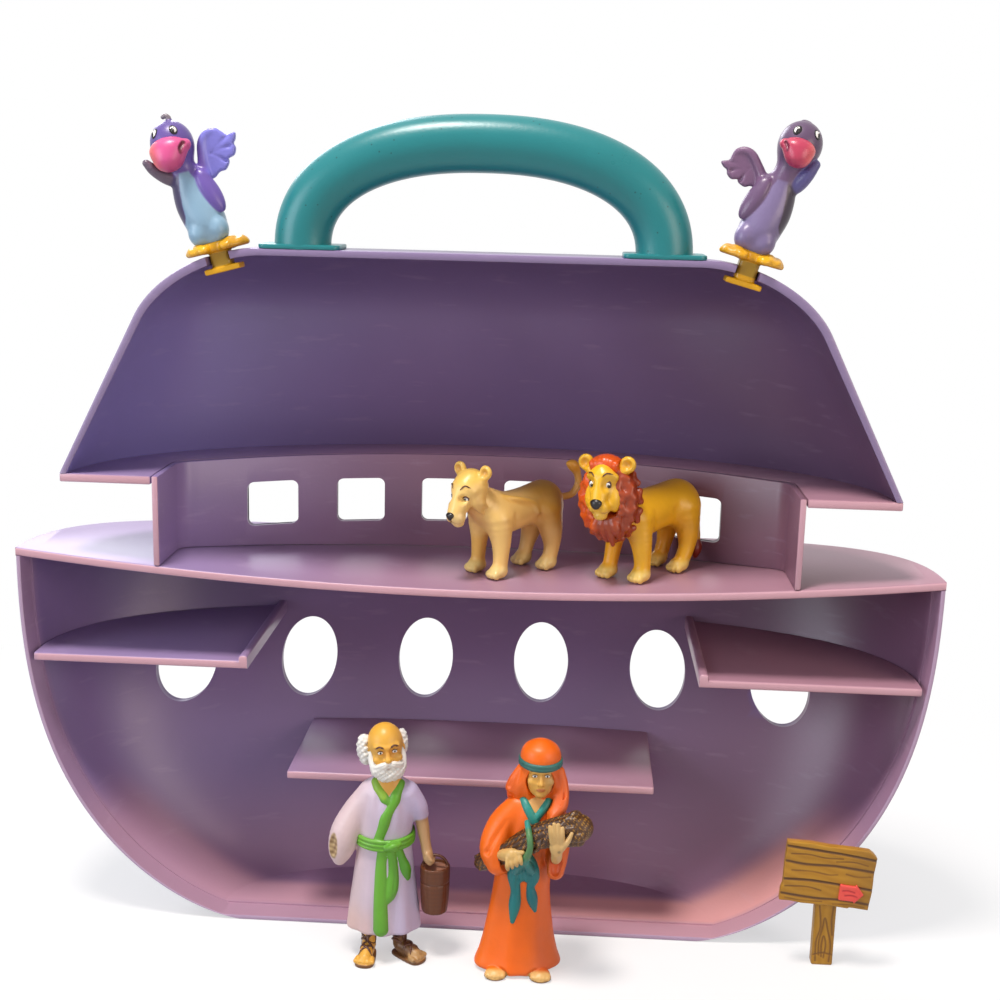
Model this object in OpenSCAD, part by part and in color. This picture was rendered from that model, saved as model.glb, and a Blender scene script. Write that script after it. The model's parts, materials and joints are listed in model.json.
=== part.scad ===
// Toy ark: an open half shell with decks, a carry handle, clip-on birds and standing figures.
// X runs along the ark, the open side faces -Y and Z is up from the flat bottom.

/* [Hull] */
// Half length of the hull at the deck
hull_half = 164; // [155:1:175]
// Depth of the hull at the deck, from the open side to the back
hull_depth = 90; // [84:1:98]
// Half length of the flat bottom
keel_half = 83; // [74:1:92]
// Depth of the flat bottom
keel_depth = 48; // [40:1:54]
// Wall of the hull
hull_wall = 2.4; // [1.8:0.1:3]
// Thickness of the hull's floor
floor_t = 2.6; // [2:0.1:4]
// Width of the stepped band along the open side
rim_band = 9; // [6:0.5:12]
// How far the band is let into the wall
rim_step = 0.8; // [0.4:0.1:1.2]
// Width of a porthole
port_w = 22; // [16:0.5:24]
// Height of a porthole
port_h = 29; // [24:0.5:31]
// Height of the portholes' centres
port_z = 82; // [76:0.5:86]
// Spacing of the portholes
port_pitch = 47; // [42:0.5:48]
// How far a porthole's frame stands out at the back
port_lip = 1.2; // [0.6:0.1:2]
// Width of a porthole's frame
port_frame = 2.5; // [1.5:0.1:4]

/* [Decks] */
// Height of the main deck amidships
deck_z = 131; // [126:0.5:136]
// Rise of the deck at the ends of the cabin
deck_sheer = 4.4; // [0:0.1:7]
// Thickness of the deck
deck_t = 3; // [2:0.1:4]
// Thickness of the shelves
shelf_t = 3; // [2:0.1:4]
// Height of the side shelves
side_shelf_z = 101.4; // [100.5:0.1:106]
// Inner end of the side shelves
side_shelf_x = 84; // [78:0.5:92]
// Height of the raised lip at a side shelf's inner end
shelf_lip = 2; // [1:0.1:4]
// Height of the lower shelf
low_shelf_z = 60; // [52:0.5:64]
// Half length of the lower shelf
low_shelf_half = 66.8; // [56:0.2:76]
// Room between a shelf and the hull's wall
shelf_fit = 0.3; // [0.2:0.05:0.6]

/* [Cabin] */
// Half length of the cabin at the open side
cabin_half = 112; // [106:0.5:118]
// Depth of the cabin's end walls
cabin_end = 28; // [22:0.5:34]
// Depth of the cabin amidships
cabin_depth = 62; // [54:0.5:66]
// Wall of the cabin
cabin_wall_t = 2.2; // [1.6:0.1:3]
// Height of the eave, where the roof stands
eave_z = 168; // [164:0.5:174]
// Thickness of the ledge under the roof
ledge_t = 3; // [2:0.1:4]
// Room between the ledge and the cabin's wall
ledge_fit = 0.4; // [0.3:0.05:0.6]
// Width of a cabin window
window_w = 18; // [12:0.5:20]
// Height of a cabin window
window_h = 17; // [12:0.5:19]
// Spacing of the windows
window_pitch = 32.2; // [29:0.2:34]
// Height of the windows' centres
window_z = 150; // [147:0.5:153]
// Corner radius of a window
window_r = 2.5; // [1:0.1:4]
// Width of a window's raised frame at the back
window_frame = 2; // [1:0.1:3]

/* [Roof] */
// Height of the roof's top
roof_z = 248; // [240:0.5:256]
// Half length of the roof at the eave
roof_half = 147; // [140:0.5:154]
// Depth of the roof at the eave
roof_depth = 86; // [80:0.5:92]
// How far the roof's ends slope in
roof_taper = 40; // [32:0.5:46]
// Radius of the roof's top corners
roof_corner = 31; // [26:0.5:34]
// How far the roof's back slopes in
roof_lean = 44; // [40:0.5:48]
// How far the back rounds over into the flat top
roof_crown = 20; // [16:0.5:21]
// Wall of the roof
roof_wall = 2.4; // [1.8:0.1:3]

/* [Handle] */
// Half width of the handle between the middles of its legs
handle_half = 61.8; // [56:0.2:66]
// Height of the grip's middle above the roof
handle_rise = 36.4; // [32:0.2:40]
// Height of the grip's section
grip_h = 19.4; // [16:0.2:22]
// Depth of the grip's section
grip_d = 18; // [14:0.2:20]
// Length of a flange under a leg
flange_l = 28; // [24:0.5:30]
// Thickness of a flange
flange_t = 1.6; // [1:0.1:2.4]

/* [Birds] */
// How far a bird's clip sits in from the roof's ends at the eave
clip_in = 57.2; // [54:0.2:61]
// Distance of a clip from the open side
clip_y = 6; // [5:0.1:8]
// Diameter of a clip's neck
neck_d = 7; // [5:0.1:8]
// Room round the neck in its notch
neck_fit = 0.3; // [0.2:0.05:0.5]
// Height of a bird above the roof
bird_h = 50; // [45:0.5:54]
// How much longer the right bird's neck is
right_rise = 1.6; // [0:0.1:2]
// How much nearer the ark's middle the right bird stands on its clip
right_in = 2.2; // [0:0.1:2.6]
// How far the right bird's raised wing is turned down from the left bird's
right_wing_turn = 24; // [0:1:28]
// Length of a clip's lower plate
plate_l = 12.6; // [11:0.2:13.4]
// Width of a clip's lower plate
plate_w = 8; // [7.6:0.2:9]
// Thickness of a clip's lower plate
plate_t = 2; // [1.4:0.1:2.6]
// Room between the lower plate and the roof
plate_gap = 2.1; // [2:0.1:2.6]
// Room between the feet and the roof
feet_gap = 0.7; // [0.5:0.1:1.2]
// Thickness of the feet
feet_t = 3.8; // [3:0.1:4.4]

/* [Figures] */
// Height of the lion
lion_h = 47; // [42:0.5:50]
// Place of the lion along the deck
lion_x = 60.9; // [57:0.1:64]
// Distance of the lion from the open side
lion_y = 26.2; // [25:0.1:27]
// Height of the lioness
lioness_h = 42; // [38:0.5:44]
// Place of the lioness along the deck
lioness_x = 10.6; // [8:0.1:13]
// Distance of the lioness from the open side
lioness_y = 28; // [26:0.1:30]
// Height of the man
man_h = 88; // [80:0.5:92]
// Place of the man along the ark
man_x = -27; // [-32:0.5:-25]
// Distance of the man in front of the open side
man_y = 17.5; // [17:0.5:22]
// Height of the woman
woman_h = 85; // [78:0.5:88]
// Place of the woman along the ark
woman_x = 20; // [18:0.5:26]
// Distance of the woman in front of the open side
woman_y = 21; // [20:0.5:26]

/* [Sign] */
// Place of the sign along the ark
sign_x = 129; // [124:0.5:134]
// Distance of the sign in front of the open side
sign_y = 10; // [8:0.5:14]
// Width of the board
board_w = 32; // [28:0.5:36]
// Height of the board
board_h = 23.4; // [20:0.2:27]
// Thickness of the board
board_t = 3; // [2:0.1:4]
// Height of the board's lower edge
board_z = 24.4; // [20:0.2:27]
// Lean of the board in its own plane
board_lean = 4.5; // [0:0.5:6]
// Width of the post
post_w = 7.6; // [6:0.1:9]
// Depth of the post
post_d = 4.5; // [3.5:0.1:6]

/* [Hidden] */

// Shape constants of the curves
hull_e = 0.8;
bilge_turn = 2.4;
bilge_round = 0.62;
flare_power = 1.25;
cabin_bow = 2.2;
roof_turn = 0.7;
roof_square = 0.65;
arch_power = 2.3;
rim_edge = 1;
cabin_corner = 1.5;
cut = 2;
level_power = 1.7;
hull_levels = 8;
hull_steps = 24;
roof_levels = 8;
roof_steps = 24;
cabin_steps = 20;
handle_steps = 22;
handle_sides = 12;
fig_fn = 8;
small_fn = 6;
small_r = 2.7;
port_sides = 24;
window_fn = 12;
loft_sides = 12;
seat = 0.15;
part_fit = 0.15;

// Heights at which the figures are drawn before they are set to their own height
lion_drawn = 47;
lioness_drawn = 42;
man_drawn = 88;
woman_drawn = 85;
bird_drawn = 50;
// Headings of the animals and the turn of their heads
lion_turn = 222.4;
lion_look = 25;
lioness_turn = 220;
lioness_look = 13;

PURPLE = [0.47, 0.39, 0.6];
LILAC = [0.8, 0.64, 0.76];
TEAL = [0.16, 0.62, 0.58];
GOLD = [0.95, 0.7, 0.1];
BIRD = [0.5, 0.4, 0.66];
PINK = [0.87, 0.36, 0.5];
LION = [0.9, 0.68, 0.12];
LIONESS = [0.85, 0.66, 0.33];
MANE = [0.72, 0.27, 0.1];
SKIN = [0.9, 0.72, 0.35];
WHITE = [0.9, 0.89, 0.86];
ROBE = [0.76, 0.69, 0.78];
GREEN = [0.3, 0.58, 0.18];
BROWN = [0.4, 0.22, 0.1];
ORANGE = [0.92, 0.42, 0.12];
WOOD = [0.55, 0.42, 0.18];
RED = [0.8, 0.2, 0.2];

hull_top = deck_z - deck_t;

function smooth(s) = s * s * (3 - 2 * s);
function power(v, e) = sign(v) * pow(abs(v), e);
function unit(v) = v / norm(v);
function deck_top(x) = deck_z + deck_sheer * pow(x / cabin_half, 2);
function deck_slope(x) = atan(2 * deck_sheer * x / pow(cabin_half, 2));
function lift(ring, dz) = [for (p = ring) p + [0, 0, dz]];

// The hull's plan at a level from 0 at the bottom to 1 under the deck
function hull_a(t) = keel_half + (hull_half - keel_half) * pow(1 - pow(1 - t, bilge_turn), bilge_round);
function hull_b(t) = keel_depth + (hull_depth - keel_depth) * smooth(pow(t, flare_power));
function hull_z(t, x) = t * hull_top + pow(t, 3) * (deck_top(x) - deck_z);
function hull_pt(t, u, off, far) =
    let (x = (hull_a(t) - off) * power(cos(u), hull_e))
    let (y = (hull_b(t) - off) * pow(abs(sin(u)), hull_e))
    [x, min(max(y, rim_edge), far), hull_z(t, x)];
function hull_ring(t, off, far) = [for (i = [0:hull_steps]) hull_pt(t, 180 * i / hull_steps, off, far)];
function hull_level(i) = pow(i / hull_levels, level_power);
function hull_rings(off, low, far) =
    let (t0 = low / hull_top)
    [for (i = [0:hull_levels]) hull_ring(t0 + (1 - t0) * hull_level(i), off, far)];

// The cabin's plan, from the right front corner round the back to the left front corner
cabin_back = cabin_half - cabin_corner;
function cabin_y(x) = cabin_end + (cabin_depth - cabin_end) * (1 - pow(abs(x) / cabin_back, cabin_bow));
function cabin_plan(off) =
    let (back = [for (i = [0:cabin_steps]) cabin_back * (1 - 2 * i / cabin_steps)])
    concat([[cabin_half + off, rim_edge]],
           [for (x = back) [x * (1 + off / cabin_half), cabin_y(x) + off]],
           [[-cabin_half - off, rim_edge]]);

// The roof's plan at a level from 0 at the eave to 1 at the top
function roof_round(t) = 1 - sqrt(1 - pow(max(0, (t - roof_turn) / (1 - roof_turn)), 2));
function roof_a(t) = roof_half - roof_taper * t - roof_corner * roof_round(t);
function roof_b(t) = roof_depth - roof_lean * t - roof_crown * roof_round(t);
function roof_pt(t, u, off, high) =
    let (e = 1 - roof_square * t)
    [(roof_a(t) - off) * power(cos(u), e),
     max(rim_edge, (roof_b(t) - off) * pow(abs(sin(u)), e)),
     eave_z + t * (high - eave_z)];
function roof_ring(t, off, high) = [for (i = [0:roof_steps]) roof_pt(t, 180 * i / roof_steps, off, high)];
function roof_rings(off, high) =
    [for (i = [0:roof_levels]) roof_ring(1 - pow(1 - i / roof_levels, level_power), off, high)];
function roof_t(x, lo = 0, hi = 1, n = 24) =
    let (m = (lo + hi) / 2)
    n == 0 ? m : roof_a(m) > x ? roof_t(x, m, hi, n - 1) : roof_t(x, lo, m, n - 1);
// Feet of a bird, and the place of its clip: clip_in from the roof's end, or farther out where the
// handle's foot needs the room
foot_r = 4.8;
foot_out = 5.6;
foot_lobe = 0.19;
foot_room = 2;
feet_half = foot_out + foot_r * (1 + foot_lobe);
clip_x = max(roof_half - clip_in, handle_half + flange_l / 2 + foot_room + feet_half);
clip_t = roof_t(clip_x);
clip_z = eave_z + clip_t * (roof_z - eave_z);
clip_tilt = atan2(0.04 * (roof_z - eave_z), roof_a(clip_t - 0.02) - roof_a(clip_t + 0.02));

// A solid between the open side and a row of back points at each level
module half_solid(rings, front) {
    m = len(rings[0]);
    n = 2 * m;
    top = len(rings) - 1;
    points = [for (r = rings)
        for (p = concat(r, [for (i = [m - 1:-1:0]) [r[i][0], front, r[i][2]]])) p];
    sides = [for (r = [0:top - 1]) for (k = [0:n - 1])
        let (a = r * n + k)
        let (b = r * n + (k + 1) % n)
        for (f = [[a, a + n, b + n], [a, b + n, b]]) f];
    low = [for (i = [0:m - 2]) for (f = [[i, i + 1, n - 2 - i], [i, n - 2 - i, n - 1 - i]]) f];
    high = [for (f = low) [for (k = [2:-1:0]) f[k] + top * n]];
    polyhedron(points, concat(sides, low, high));
}

// A solid through flat rings, each given as [x, y, z, half width, half depth]
module loft(rings, sides = loft_sides) {
    top = len(rings) - 1;
    points = [for (r = rings) for (k = [0:sides - 1])
        [r[0] + r[3] * cos(360 * k / sides), r[1] + r[4] * sin(360 * k / sides), r[2]]];
    walls = [for (r = [0:top - 1]) for (k = [0:sides - 1])
        let (a = r * sides + k)
        let (b = r * sides + (k + 1) % sides)
        for (f = [[a, a + sides, b + sides], [a, b + sides, b]]) f];
    low = [for (k = [0:sides - 1]) k];
    high = [for (k = [sides - 1:-1:0]) top * sides + k];
    polyhedron(points, concat(walls, [low], [high]));
}

// Ball given as [x, y, z, radius] and grown by g, with fewer sides where it is small
module ball(p, g = 0)
    translate([p[0], p[1], p[2]]) sphere(p[3] + g, $fn = p[3] < small_r ? small_fn : fig_fn);

// Round limb through balls, grown by g all over
module chain(balls, g = 0) {
    for (i = [0:len(balls) - 2])
        hull() {
            ball(balls[i], g);
            ball(balls[i + 1], g);
        }
}

// Ark shells
function oval_outline(w, h) = [for (i = [0:port_sides - 1])
    [w / 2 * cos(360 * i / port_sides), h / 2 * sin(360 * i / port_sides)]];

module oval(x, grow)
    hull()
        translate([x, rim_band + cut, port_z])
            rotate([-90, 0, 0])
                linear_extrude(hull_depth) polygon(oval_outline(port_w + 2 * grow, port_h + 2 * grow));

module hull_shell() color(PURPLE)
    difference() {
        union() {
            half_solid(hull_rings(0, 0, hull_depth), 0);
            intersection() {
                half_solid(hull_rings(-port_lip, 0, hull_depth + port_lip), 0);
                for (i = [-2.5:2.5]) oval(i * port_pitch, port_frame);
            }
        }
        half_solid(hollow(hull_rings(hull_wall, floor_t, hull_depth)), -cut);
        half_solid(hollow(hull_rings(hull_wall - rim_step, floor_t - rim_step, rim_band)), -cut);
        for (i = [-2.5:2.5]) oval(i * port_pitch, 0);
    }

// Inner rings carried on past the open top
function hollow(rings) = concat(rings, [lift(rings[len(rings) - 1], cut)]);

module main_deck() color(LILAC)
    half_solid([for (dz = [-deck_t, 0]) deck_ring(dz)], 0);

function deck_ring(dz) = [for (p = hull_ring(1, 0, hull_depth)) [p[0], p[1], deck_top(p[0]) + dz]];

// Plate inside the hull from x0 to x1 and z0 to z1, with its back fitted to the wall
module shelf(x0, x1, z0, z1)
    intersection() {
        translate([x0, 0, z0]) cube([x1 - x0, hull_depth, z1 - z0]);
        half_solid(hull_rings(hull_wall + shelf_fit, floor_t, hull_depth), 0);
    }

module side_shelf() {
    shelf(side_shelf_x, hull_half, side_shelf_z - shelf_t, side_shelf_z);
    shelf(side_shelf_x - shelf_t, side_shelf_x, side_shelf_z - shelf_t, side_shelf_z + shelf_lip);
}

module right_shelf() color(LILAC) side_shelf();
module left_shelf() color(LILAC) mirror([1, 0, 0]) side_shelf();
module lower_shelf() color(LILAC)
    shelf(-low_shelf_half, low_shelf_half, low_shelf_z - shelf_t, low_shelf_z);

module window(x, grow) {
    w = window_w / 2 - window_r;
    h = window_h / 2 - window_r;
    hull()
        for (sx = [-w, w], sz = [-h, h])
            translate([x + sx, cabin_end, window_z + sz])
                rotate([-90, 0, 0]) cylinder(r = window_r + grow, h = cabin_depth, $fn = window_fn);
}

function cabin_rings(off, low) =
    [[for (p = cabin_plan(off)) [p[0], p[1], deck_top(p[0]) + low]],
     [for (p = cabin_plan(off)) [p[0], p[1], eave_z - low]]];

module cabin_wall() color(LILAC)
    difference() {
        union() {
            half_solid(cabin_rings(cabin_wall_t, part_fit), 0);
            intersection() {
                half_solid(cabin_rings(cabin_wall_t + port_lip, ledge_t + ledge_fit), 0);
                for (i = [-2.5:2.5]) window(i * window_pitch, window_frame);
            }
        }
        half_solid(cabin_rings(0, -cut), -cut);
        for (i = [-2.5:2.5]) window(i * window_pitch, 0);
    }

function plan(ring) = [for (p = ring) [p[0], p[1]]];
function closed(ring, front) =
    concat([[ring[0][0], front]], ring, [[ring[len(ring) - 1][0], front]]);

module eave_ledge() color(LILAC)
    translate([0, 0, eave_z - ledge_t])
        linear_extrude(ledge_t)
            difference() {
                polygon(closed(plan(roof_ring(0, 0, roof_z)), 0));
                polygon(closed(cabin_plan(cabin_wall_t + ledge_fit), -cut));
            }

// Notch for a clip's neck, opening wider towards the rim
notch_flare = 1.2;
notch_out = 1.5 * clip_y;
module notch(steps = 4) {
    for (i = [0:steps - 1])
        hull()
            for (f = [i / steps, (i + 1) / steps])
                translate([0, -notch_out * f, -3 * roof_wall])
                    cylinder(d = neck_d + 2 * neck_fit + notch_flare * f * f, h = 5 * roof_wall, $fn = 28);
}

module at_clip() translate([clip_x, clip_y, clip_z]) rotate([0, clip_tilt, 0]) children();

module roof_shell() color(PURPLE)
    difference() {
        half_solid(roof_rings(0, roof_z), 0);
        half_solid(sunk(roof_rings(roof_wall, roof_z - roof_wall)), -cut);
        for (s = [0, 1]) mirror([s, 0, 0]) at_clip() notch();
    }

// Inner rings carried on below the eave
function sunk(rings) = concat([lift(rings[0], -cut)], rings);

// Point on the middle line of the handle's arch
function arch_pt(u) = [handle_half * power(cos(u), 2 / arch_power), grip_d / 2,
                       roof_z + handle_rise * pow(abs(sin(u)), 2 / arch_power)];
function arch_dir(u) = unit(arch_pt(min(180, u + 0.5)) - arch_pt(max(0, u - 0.5)));
function arch_ring(u) =
    let (c = arch_pt(u))
    let (d = u == 0 ? [0, 0, 1] : u == 180 ? [0, 0, -1] : arch_dir(u))
    let (n = [d[2], 0, -d[0]])
    [for (k = [0:handle_sides - 1])
        let (v = 360 * k / handle_sides)
        c + n * grip_h / 2 * cos(v) + [0, grip_d / 2 * sin(v), 0]];

module carry_handle() color(TEAL) {
    points = [for (i = [0:handle_steps]) for (p = arch_ring(180 * i / handle_steps)) p];
    last = handle_steps * handle_sides;
    walls = [for (r = [0:handle_steps - 1]) for (k = [0:handle_sides - 1])
        let (a = r * handle_sides + k)
        let (b = r * handle_sides + (k + 1) % handle_sides)
        for (f = [[a, a + handle_sides, b + handle_sides], [a, b + handle_sides, b]]) f];
    low = [for (k = [0:handle_sides - 1]) k];
    high = [for (k = [handle_sides - 1:-1:0]) last + k];
    polyhedron(points, concat(walls, [low], [high]));
    for (s = [-1, 1])
        translate([s * handle_half - flange_l / 2, 0, roof_z]) cube([flange_l, grip_d, flange_t]);
}

// Birds, drawn on the clip's axis with the roof's surface at z = 0 and the front towards -Y
bird_k = bird_h / bird_drawn;
bird_base = feet_gap + feet_t;
bird_head = [-6, -0.6, 38.6, 7.5];
bird_rings = [[-1.2, 0, bird_base / bird_k + 0.1, 5, 5], [-1.4, 0, 7, 6.2, 6],
              [-1.8, 0, 11, 7, 6.8], [-2.9, 0.2, 17, 7.2, 6.6], [-3.7, 0.2, 23, 6.1, 5.6],
              [-4.2, 0, 28, 4.8, 4.6], [-4.8, -0.4, 32, 4.6, 4.6], [-5.4, -0.8, 36, 5, 5]];
// Raised wing: its outline with three feathers, its thickness and the place of its front face
wing_outline = [[1, 27], [1.6, 33], [3.6, 38], [6.2, 40.2], [9, 40.4], [12.4, 37.6], [15, 37.6],
                [14, 34.2], [13.8, 31.4], [11.1, 29.7], [9.6, 26.8], [7, 26.2], [4.6, 24.8]];
wing_t = 2.4;
wing_y = 0.2;
wing_root = [2, 0, 27];
foot_back = 1.5;
foot_splay = 14;

function foot_outline() = [for (i = [0:23]) let (v = 15 * i)
    foot_r * (1 + foot_lobe * cos(3 * (v + 90))) * [cos(v), 1.25 * sin(v)]];

module bird_clip(rise) {
    translate([0, 0, -roof_wall - plate_gap - plate_t]) {
        translate([-plate_l / 2, -plate_w / 2, 0]) cube([plate_l, plate_w, plate_t]);
        cylinder(d = neck_d, h = roof_wall + plate_gap + plate_t + rise + bird_base - feet_t / 2, $fn = 32);
    }
    translate([0, 0, rise + feet_gap])
        linear_extrude(feet_t) {
            for (s = [-1, 1])
                translate([foot_out * s, -foot_back]) rotate(-foot_splay * s) polygon(foot_outline());
            square(neck_d + 2, center = true);
        }
}

module bird_form(wing_turn = 0) scale(bird_k) {
    difference() {
        union() {
            loft(bird_rings);
            ball(bird_head);
            // crest
            chain([[-5, -0.6, 45.6, 1.2], [-4.7, -0.6, 48, 1], [-6.2, -0.6, 49.1, 0.9]]);
            // raised wing
            translate(wing_root) rotate([0, wing_turn, 0]) translate(-wing_root) {
                translate([0, wing_y + wing_t, 0])
                    rotate([90, 0, 0]) linear_extrude(wing_t) polygon(wing_outline);
                chain([[1.2, 0.4, 28, 2.2], [2.4, 0.8, 33, 1.7], [4.6, 1.2, 38, 1.6]]);
            }
            // folded wing on the flank and the wing held up to the bill
            chain([[1.4, -1.6, 26.6, 2.2], [3.4, -3, 20.6, 3], [5.2, -3, 14.6, 1.6]]);
            chain([[-7, -0.8, 26.4, 2.6], [-11, -3, 29.6, 2.3], [-15, -4.8, 34.4, 1.2]]);
        }
        bill_form(part_fit);
    }
}

module bill_form(g = 0) {
    hull() {
        ball([-8.6, -7, 36.6, 4.5], g);
        ball([-2.8, -6.6, 36.6, 4.2], g);
        ball([-6, -8, 33.4, 4.1], g);
    }
}

module bird_bill() scale(bird_k) bill_form();

module on_roof(s, rise = 0, inward = 0)
    mirror([s < 0 ? 1 : 0, 0, 0]) at_clip() translate([-inward, 0, rise]) mirror([1, 0, 0]) children();

module right_bird_clip() color(GOLD) on_roof(1) bird_clip(right_rise);
module left_bird_clip() color(GOLD) on_roof(-1) bird_clip(0);
module right_bird_body() color(BIRD) on_roof(1, right_rise, right_in) bird_form(right_wing_turn);
module left_bird_body() color(BIRD) on_roof(-1) bird_form();
module right_bird_bill() color(PINK) on_roof(1, right_rise, right_in) bird_bill();
module left_bird_bill() color(PINK) on_roof(-1) bird_bill();

// Animals, drawn standing at z = 0 with the head towards +X
lion_head_at = [19.4, 0.8, 32.6];
lioness_head_at = [17.6, 0, 31.4];

// Leg through its balls, with a paw whose middle is at x and y
module leg(balls, x, y, g) {
    chain(balls, g);
    chain([[x - 1.2, y, 2.8, 2.8], [x + 1.4, y, 2.7, 2.7]], g);
}

// Trunk, neck, legs and tail
module lion_body_form(g = 0) {
    chain([[-16.8, 0, 24.8, 8.6], [-8, 0, 24.4, 8], [2, 0, 23.2, 8.6], [9, 0, 25, 8.4]], g);
    chain([[9, 0, 26.6, 7.6], [15, 0.4, 30.4, 6.6]], g);
    leg([[-17, 4.6, 23, 6], [-17, 6, 11, 3.4], [-13.4, 6, 4, 2.8]], -11.2, 6, g);
    leg([[-17, -4.6, 23, 5.8], [-17.6, -6, 11, 3.2], [-14.6, -6, 4, 2.8]], -12.4, -6, g);
    leg([[7.6, 4.6, 21, 5.4], [7.5, 6.6, 12, 3.5], [8, 6.9, 4, 3]], 9.6, 6.9, g);
    leg([[9, -4.6, 21, 5.2], [9.2, -6.2, 12, 3], [11.2, -6.4, 4, 2.8]], 13, -6.4, g);
    chain([[-24.6, 0.6, 26.6, 1.5], [-25.4, 2.4, 18, 1.3], [-24.8, 3.4, 10, 1.6], [-24, 3.6, 6, 2.2]], g);
}

// Skull, face, chin, nose, ears and brows
module lion_head_form(g = 0) translate(lion_head_at) rotate(lion_look) {
    chain([[-1, 0, 4.6, 6.6], [1, 0, 0, 6.4]], g);
    chain([[3.8, 0, 5, 4.4], [7.4, 0, -1.8, 3.6]], g);
    chain([[4.4, 0, -4.2, 3.4], [6.6, 0, -5.4, 2.2]], g);
    chain([[9.6, -0.9, -1.2, 1.7], [9.6, 0.9, -1.2, 1.7]], g);
    for (s = [-1, 1]) {
        chain([[-1, 5.6 * s, 8, 2.8], [-1, 7.9 * s, 11.4, 2.8]], g);
        chain([[4.8, 1.6 * s, 8, 1.6], [3.8, 4.2 * s, 7.4, 1.5]], g);
    }
}

// Cap between the ears and a wreath of locks down to the chest
module lion_mane_form() translate(lion_head_at) rotate(lion_look * 0.8) {
    chain([[0, -4, 11, 3.4], [0.6, 0, 11.6, 3.4], [0, 4, 11, 3.4]]);
    for (v = [0:36:324])
        chain([[-2.4, 5 * cos(v), 6 * sin(v), 5.4], [-3.2, 8.4 * cos(v), 11.6 * sin(v) - 2.6, 3.6]]);
}

module place_animal(x, y, turn, k)
    translate([x, y, deck_top(x) + seat])
        rotate([0, -deck_slope(x), 0]) rotate(turn) scale(k) children();

module place_lion() place_animal(lion_x, lion_y, lion_turn, lion_h / lion_drawn) children();
module place_lioness()
    place_animal(lioness_x, lioness_y, lioness_turn, lioness_h / lioness_drawn) children();

module lion_body() color(LION) place_lion() lion_body_form();
module lion_head() color(LION) place_lion()
    difference() {
        lion_head_form();
        lion_body_form(part_fit);
    }
module lion_mane() color(MANE) place_lion()
    difference() {
        lion_mane_form();
        lion_head_form(part_fit);
        lion_body_form(part_fit);
    }

// Trunk, neck, legs and curled tail
module lioness_body_form(g = 0) {
    chain([[-15.6, 0, 24.8, 8], [-6, 0, 23.6, 7.2], [2.4, 0, 22.4, 7.8], [8.4, 0, 24.4, 7.6]], g);
    chain([[8.4, 0, 25.6, 6.8], [14, 0, 28.8, 5.8]], g);
    leg([[-15, 4.4, 22, 5.6], [-16.5, 5.5, 11, 3.2], [-15, 5.5, 4, 2.8]], -13.6, 5.5, g);
    leg([[-14, -4.4, 22, 5.4], [-14.6, -5.5, 11, 3], [-12, -5.5, 4, 2.8]], -10.4, -5.5, g);
    leg([[7.6, 4.4, 20, 5], [7.6, 6, 12, 3.3], [8.4, 6.4, 4, 2.8]], 10, 6.4, g);
    leg([[9, -4.4, 20, 4.8], [9, -5.8, 12, 2.9], [9.4, -6, 4, 2.8]], 10.6, -6, g);
    chain([[-22, 0, 25.6, 1.6], [-30, 0, 25.5, 1.3], [-33.4, 0, 30, 1.3], [-32, 0, 35.4, 1.4],
           [-28, 0, 37.2, 1.9]], g);
}

// Skull, snout, chin, nose, ears, brows and cheek ruffs
module lioness_head_form(g = 0) translate(lioness_head_at) rotate(lioness_look) {
    chain([[-1, 0, 3.2, 5.9], [1.6, 0, 0, 5.8]], g);
    chain([[4.2, 0, -2.4, 4.2], [8.2, 0, -7, 3]], g);
    chain([[3.8, 0, -6.4, 3], [7, 0, -9.2, 2]], g);
    chain([[10, -0.5, -7, 1.2], [10, 0.5, -7, 1.2]], g);
    for (s = [-1, 1]) {
        chain([[-1.6, 5.2 * s, 6, 2], [-1.8, 6.2 * s, 8.2, 2.1]], g);
        chain([[3.8, 1.6 * s, 3.6, 1.6], [3.8, 3.6 * s, 2.6, 1.5]], g);
        chain([[-0.6, 4.6 * s, -1.6, 2.6], [-2.4, 5.8 * s, -3.6, 2]], g);
    }
}

module lioness_body() color(LIONESS) place_lioness() lioness_body_form();
module lioness_head() color(LIONESS) place_lioness()
    difference() {
        lioness_head_form();
        lioness_body_form(part_fit);
    }

// People, drawn standing at z = 0 and facing -Y
function grown(rings, g) = [for (r = rings) r + [0, 0, 0, g, g]];
man_rings = [[-1.4, 0, 10.6, 13.2, 10], [-1.4, 0, 20, 12.4, 9.4], [-1.4, 0, 34, 10.8, 8.4],
             [-1.35, 0, 45, 9.65, 7.6], [-1, 0, 55, 10.2, 7.6], [-0.7, 0.2, 62, 9.6, 6.8],
             [-0.6, 0, 66, 6.4, 5], [-0.6, -0.4, 68.4, 4, 3.8]];
man_sleeve = [[-6.6, 0, 61.2, 4.7], [-11.4, -0.6, 54.2, 4.9], [-15.2, -2, 46.4, 5.6], [-16.8, -3, 39, 4]];
man_arm = [[6.4, 0, 61.4, 4.7], [10.4, 0.4, 54.4, 3.4], [11.9, 0, 50, 2.2], [13.3, -1, 41.4, 2],
           [14, -1.2, 38.2, 2.6]];
man_head_x = -1.1;
man_face_x = -0.4;

module man_robe_form(g = 0) {
    loft(grown(man_rings, g));
    chain(man_sleeve, g);
    chain(man_arm, g);
    for (x = [-9, -5, 5, 8.4])
        chain([[0.7 * x - 1.4, -6.4, 43, 0.7], [x - 1.4, -9.2 + 0.03 * x * x, 12, 1.2]], g);
    for (x = [-6, 0, 6])
        chain([[0.7 * x - 1.4, 6.6, 43, 0.7], [x - 1.4, 9 - 0.02 * x * x, 12, 1.2]], g);
}

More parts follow.
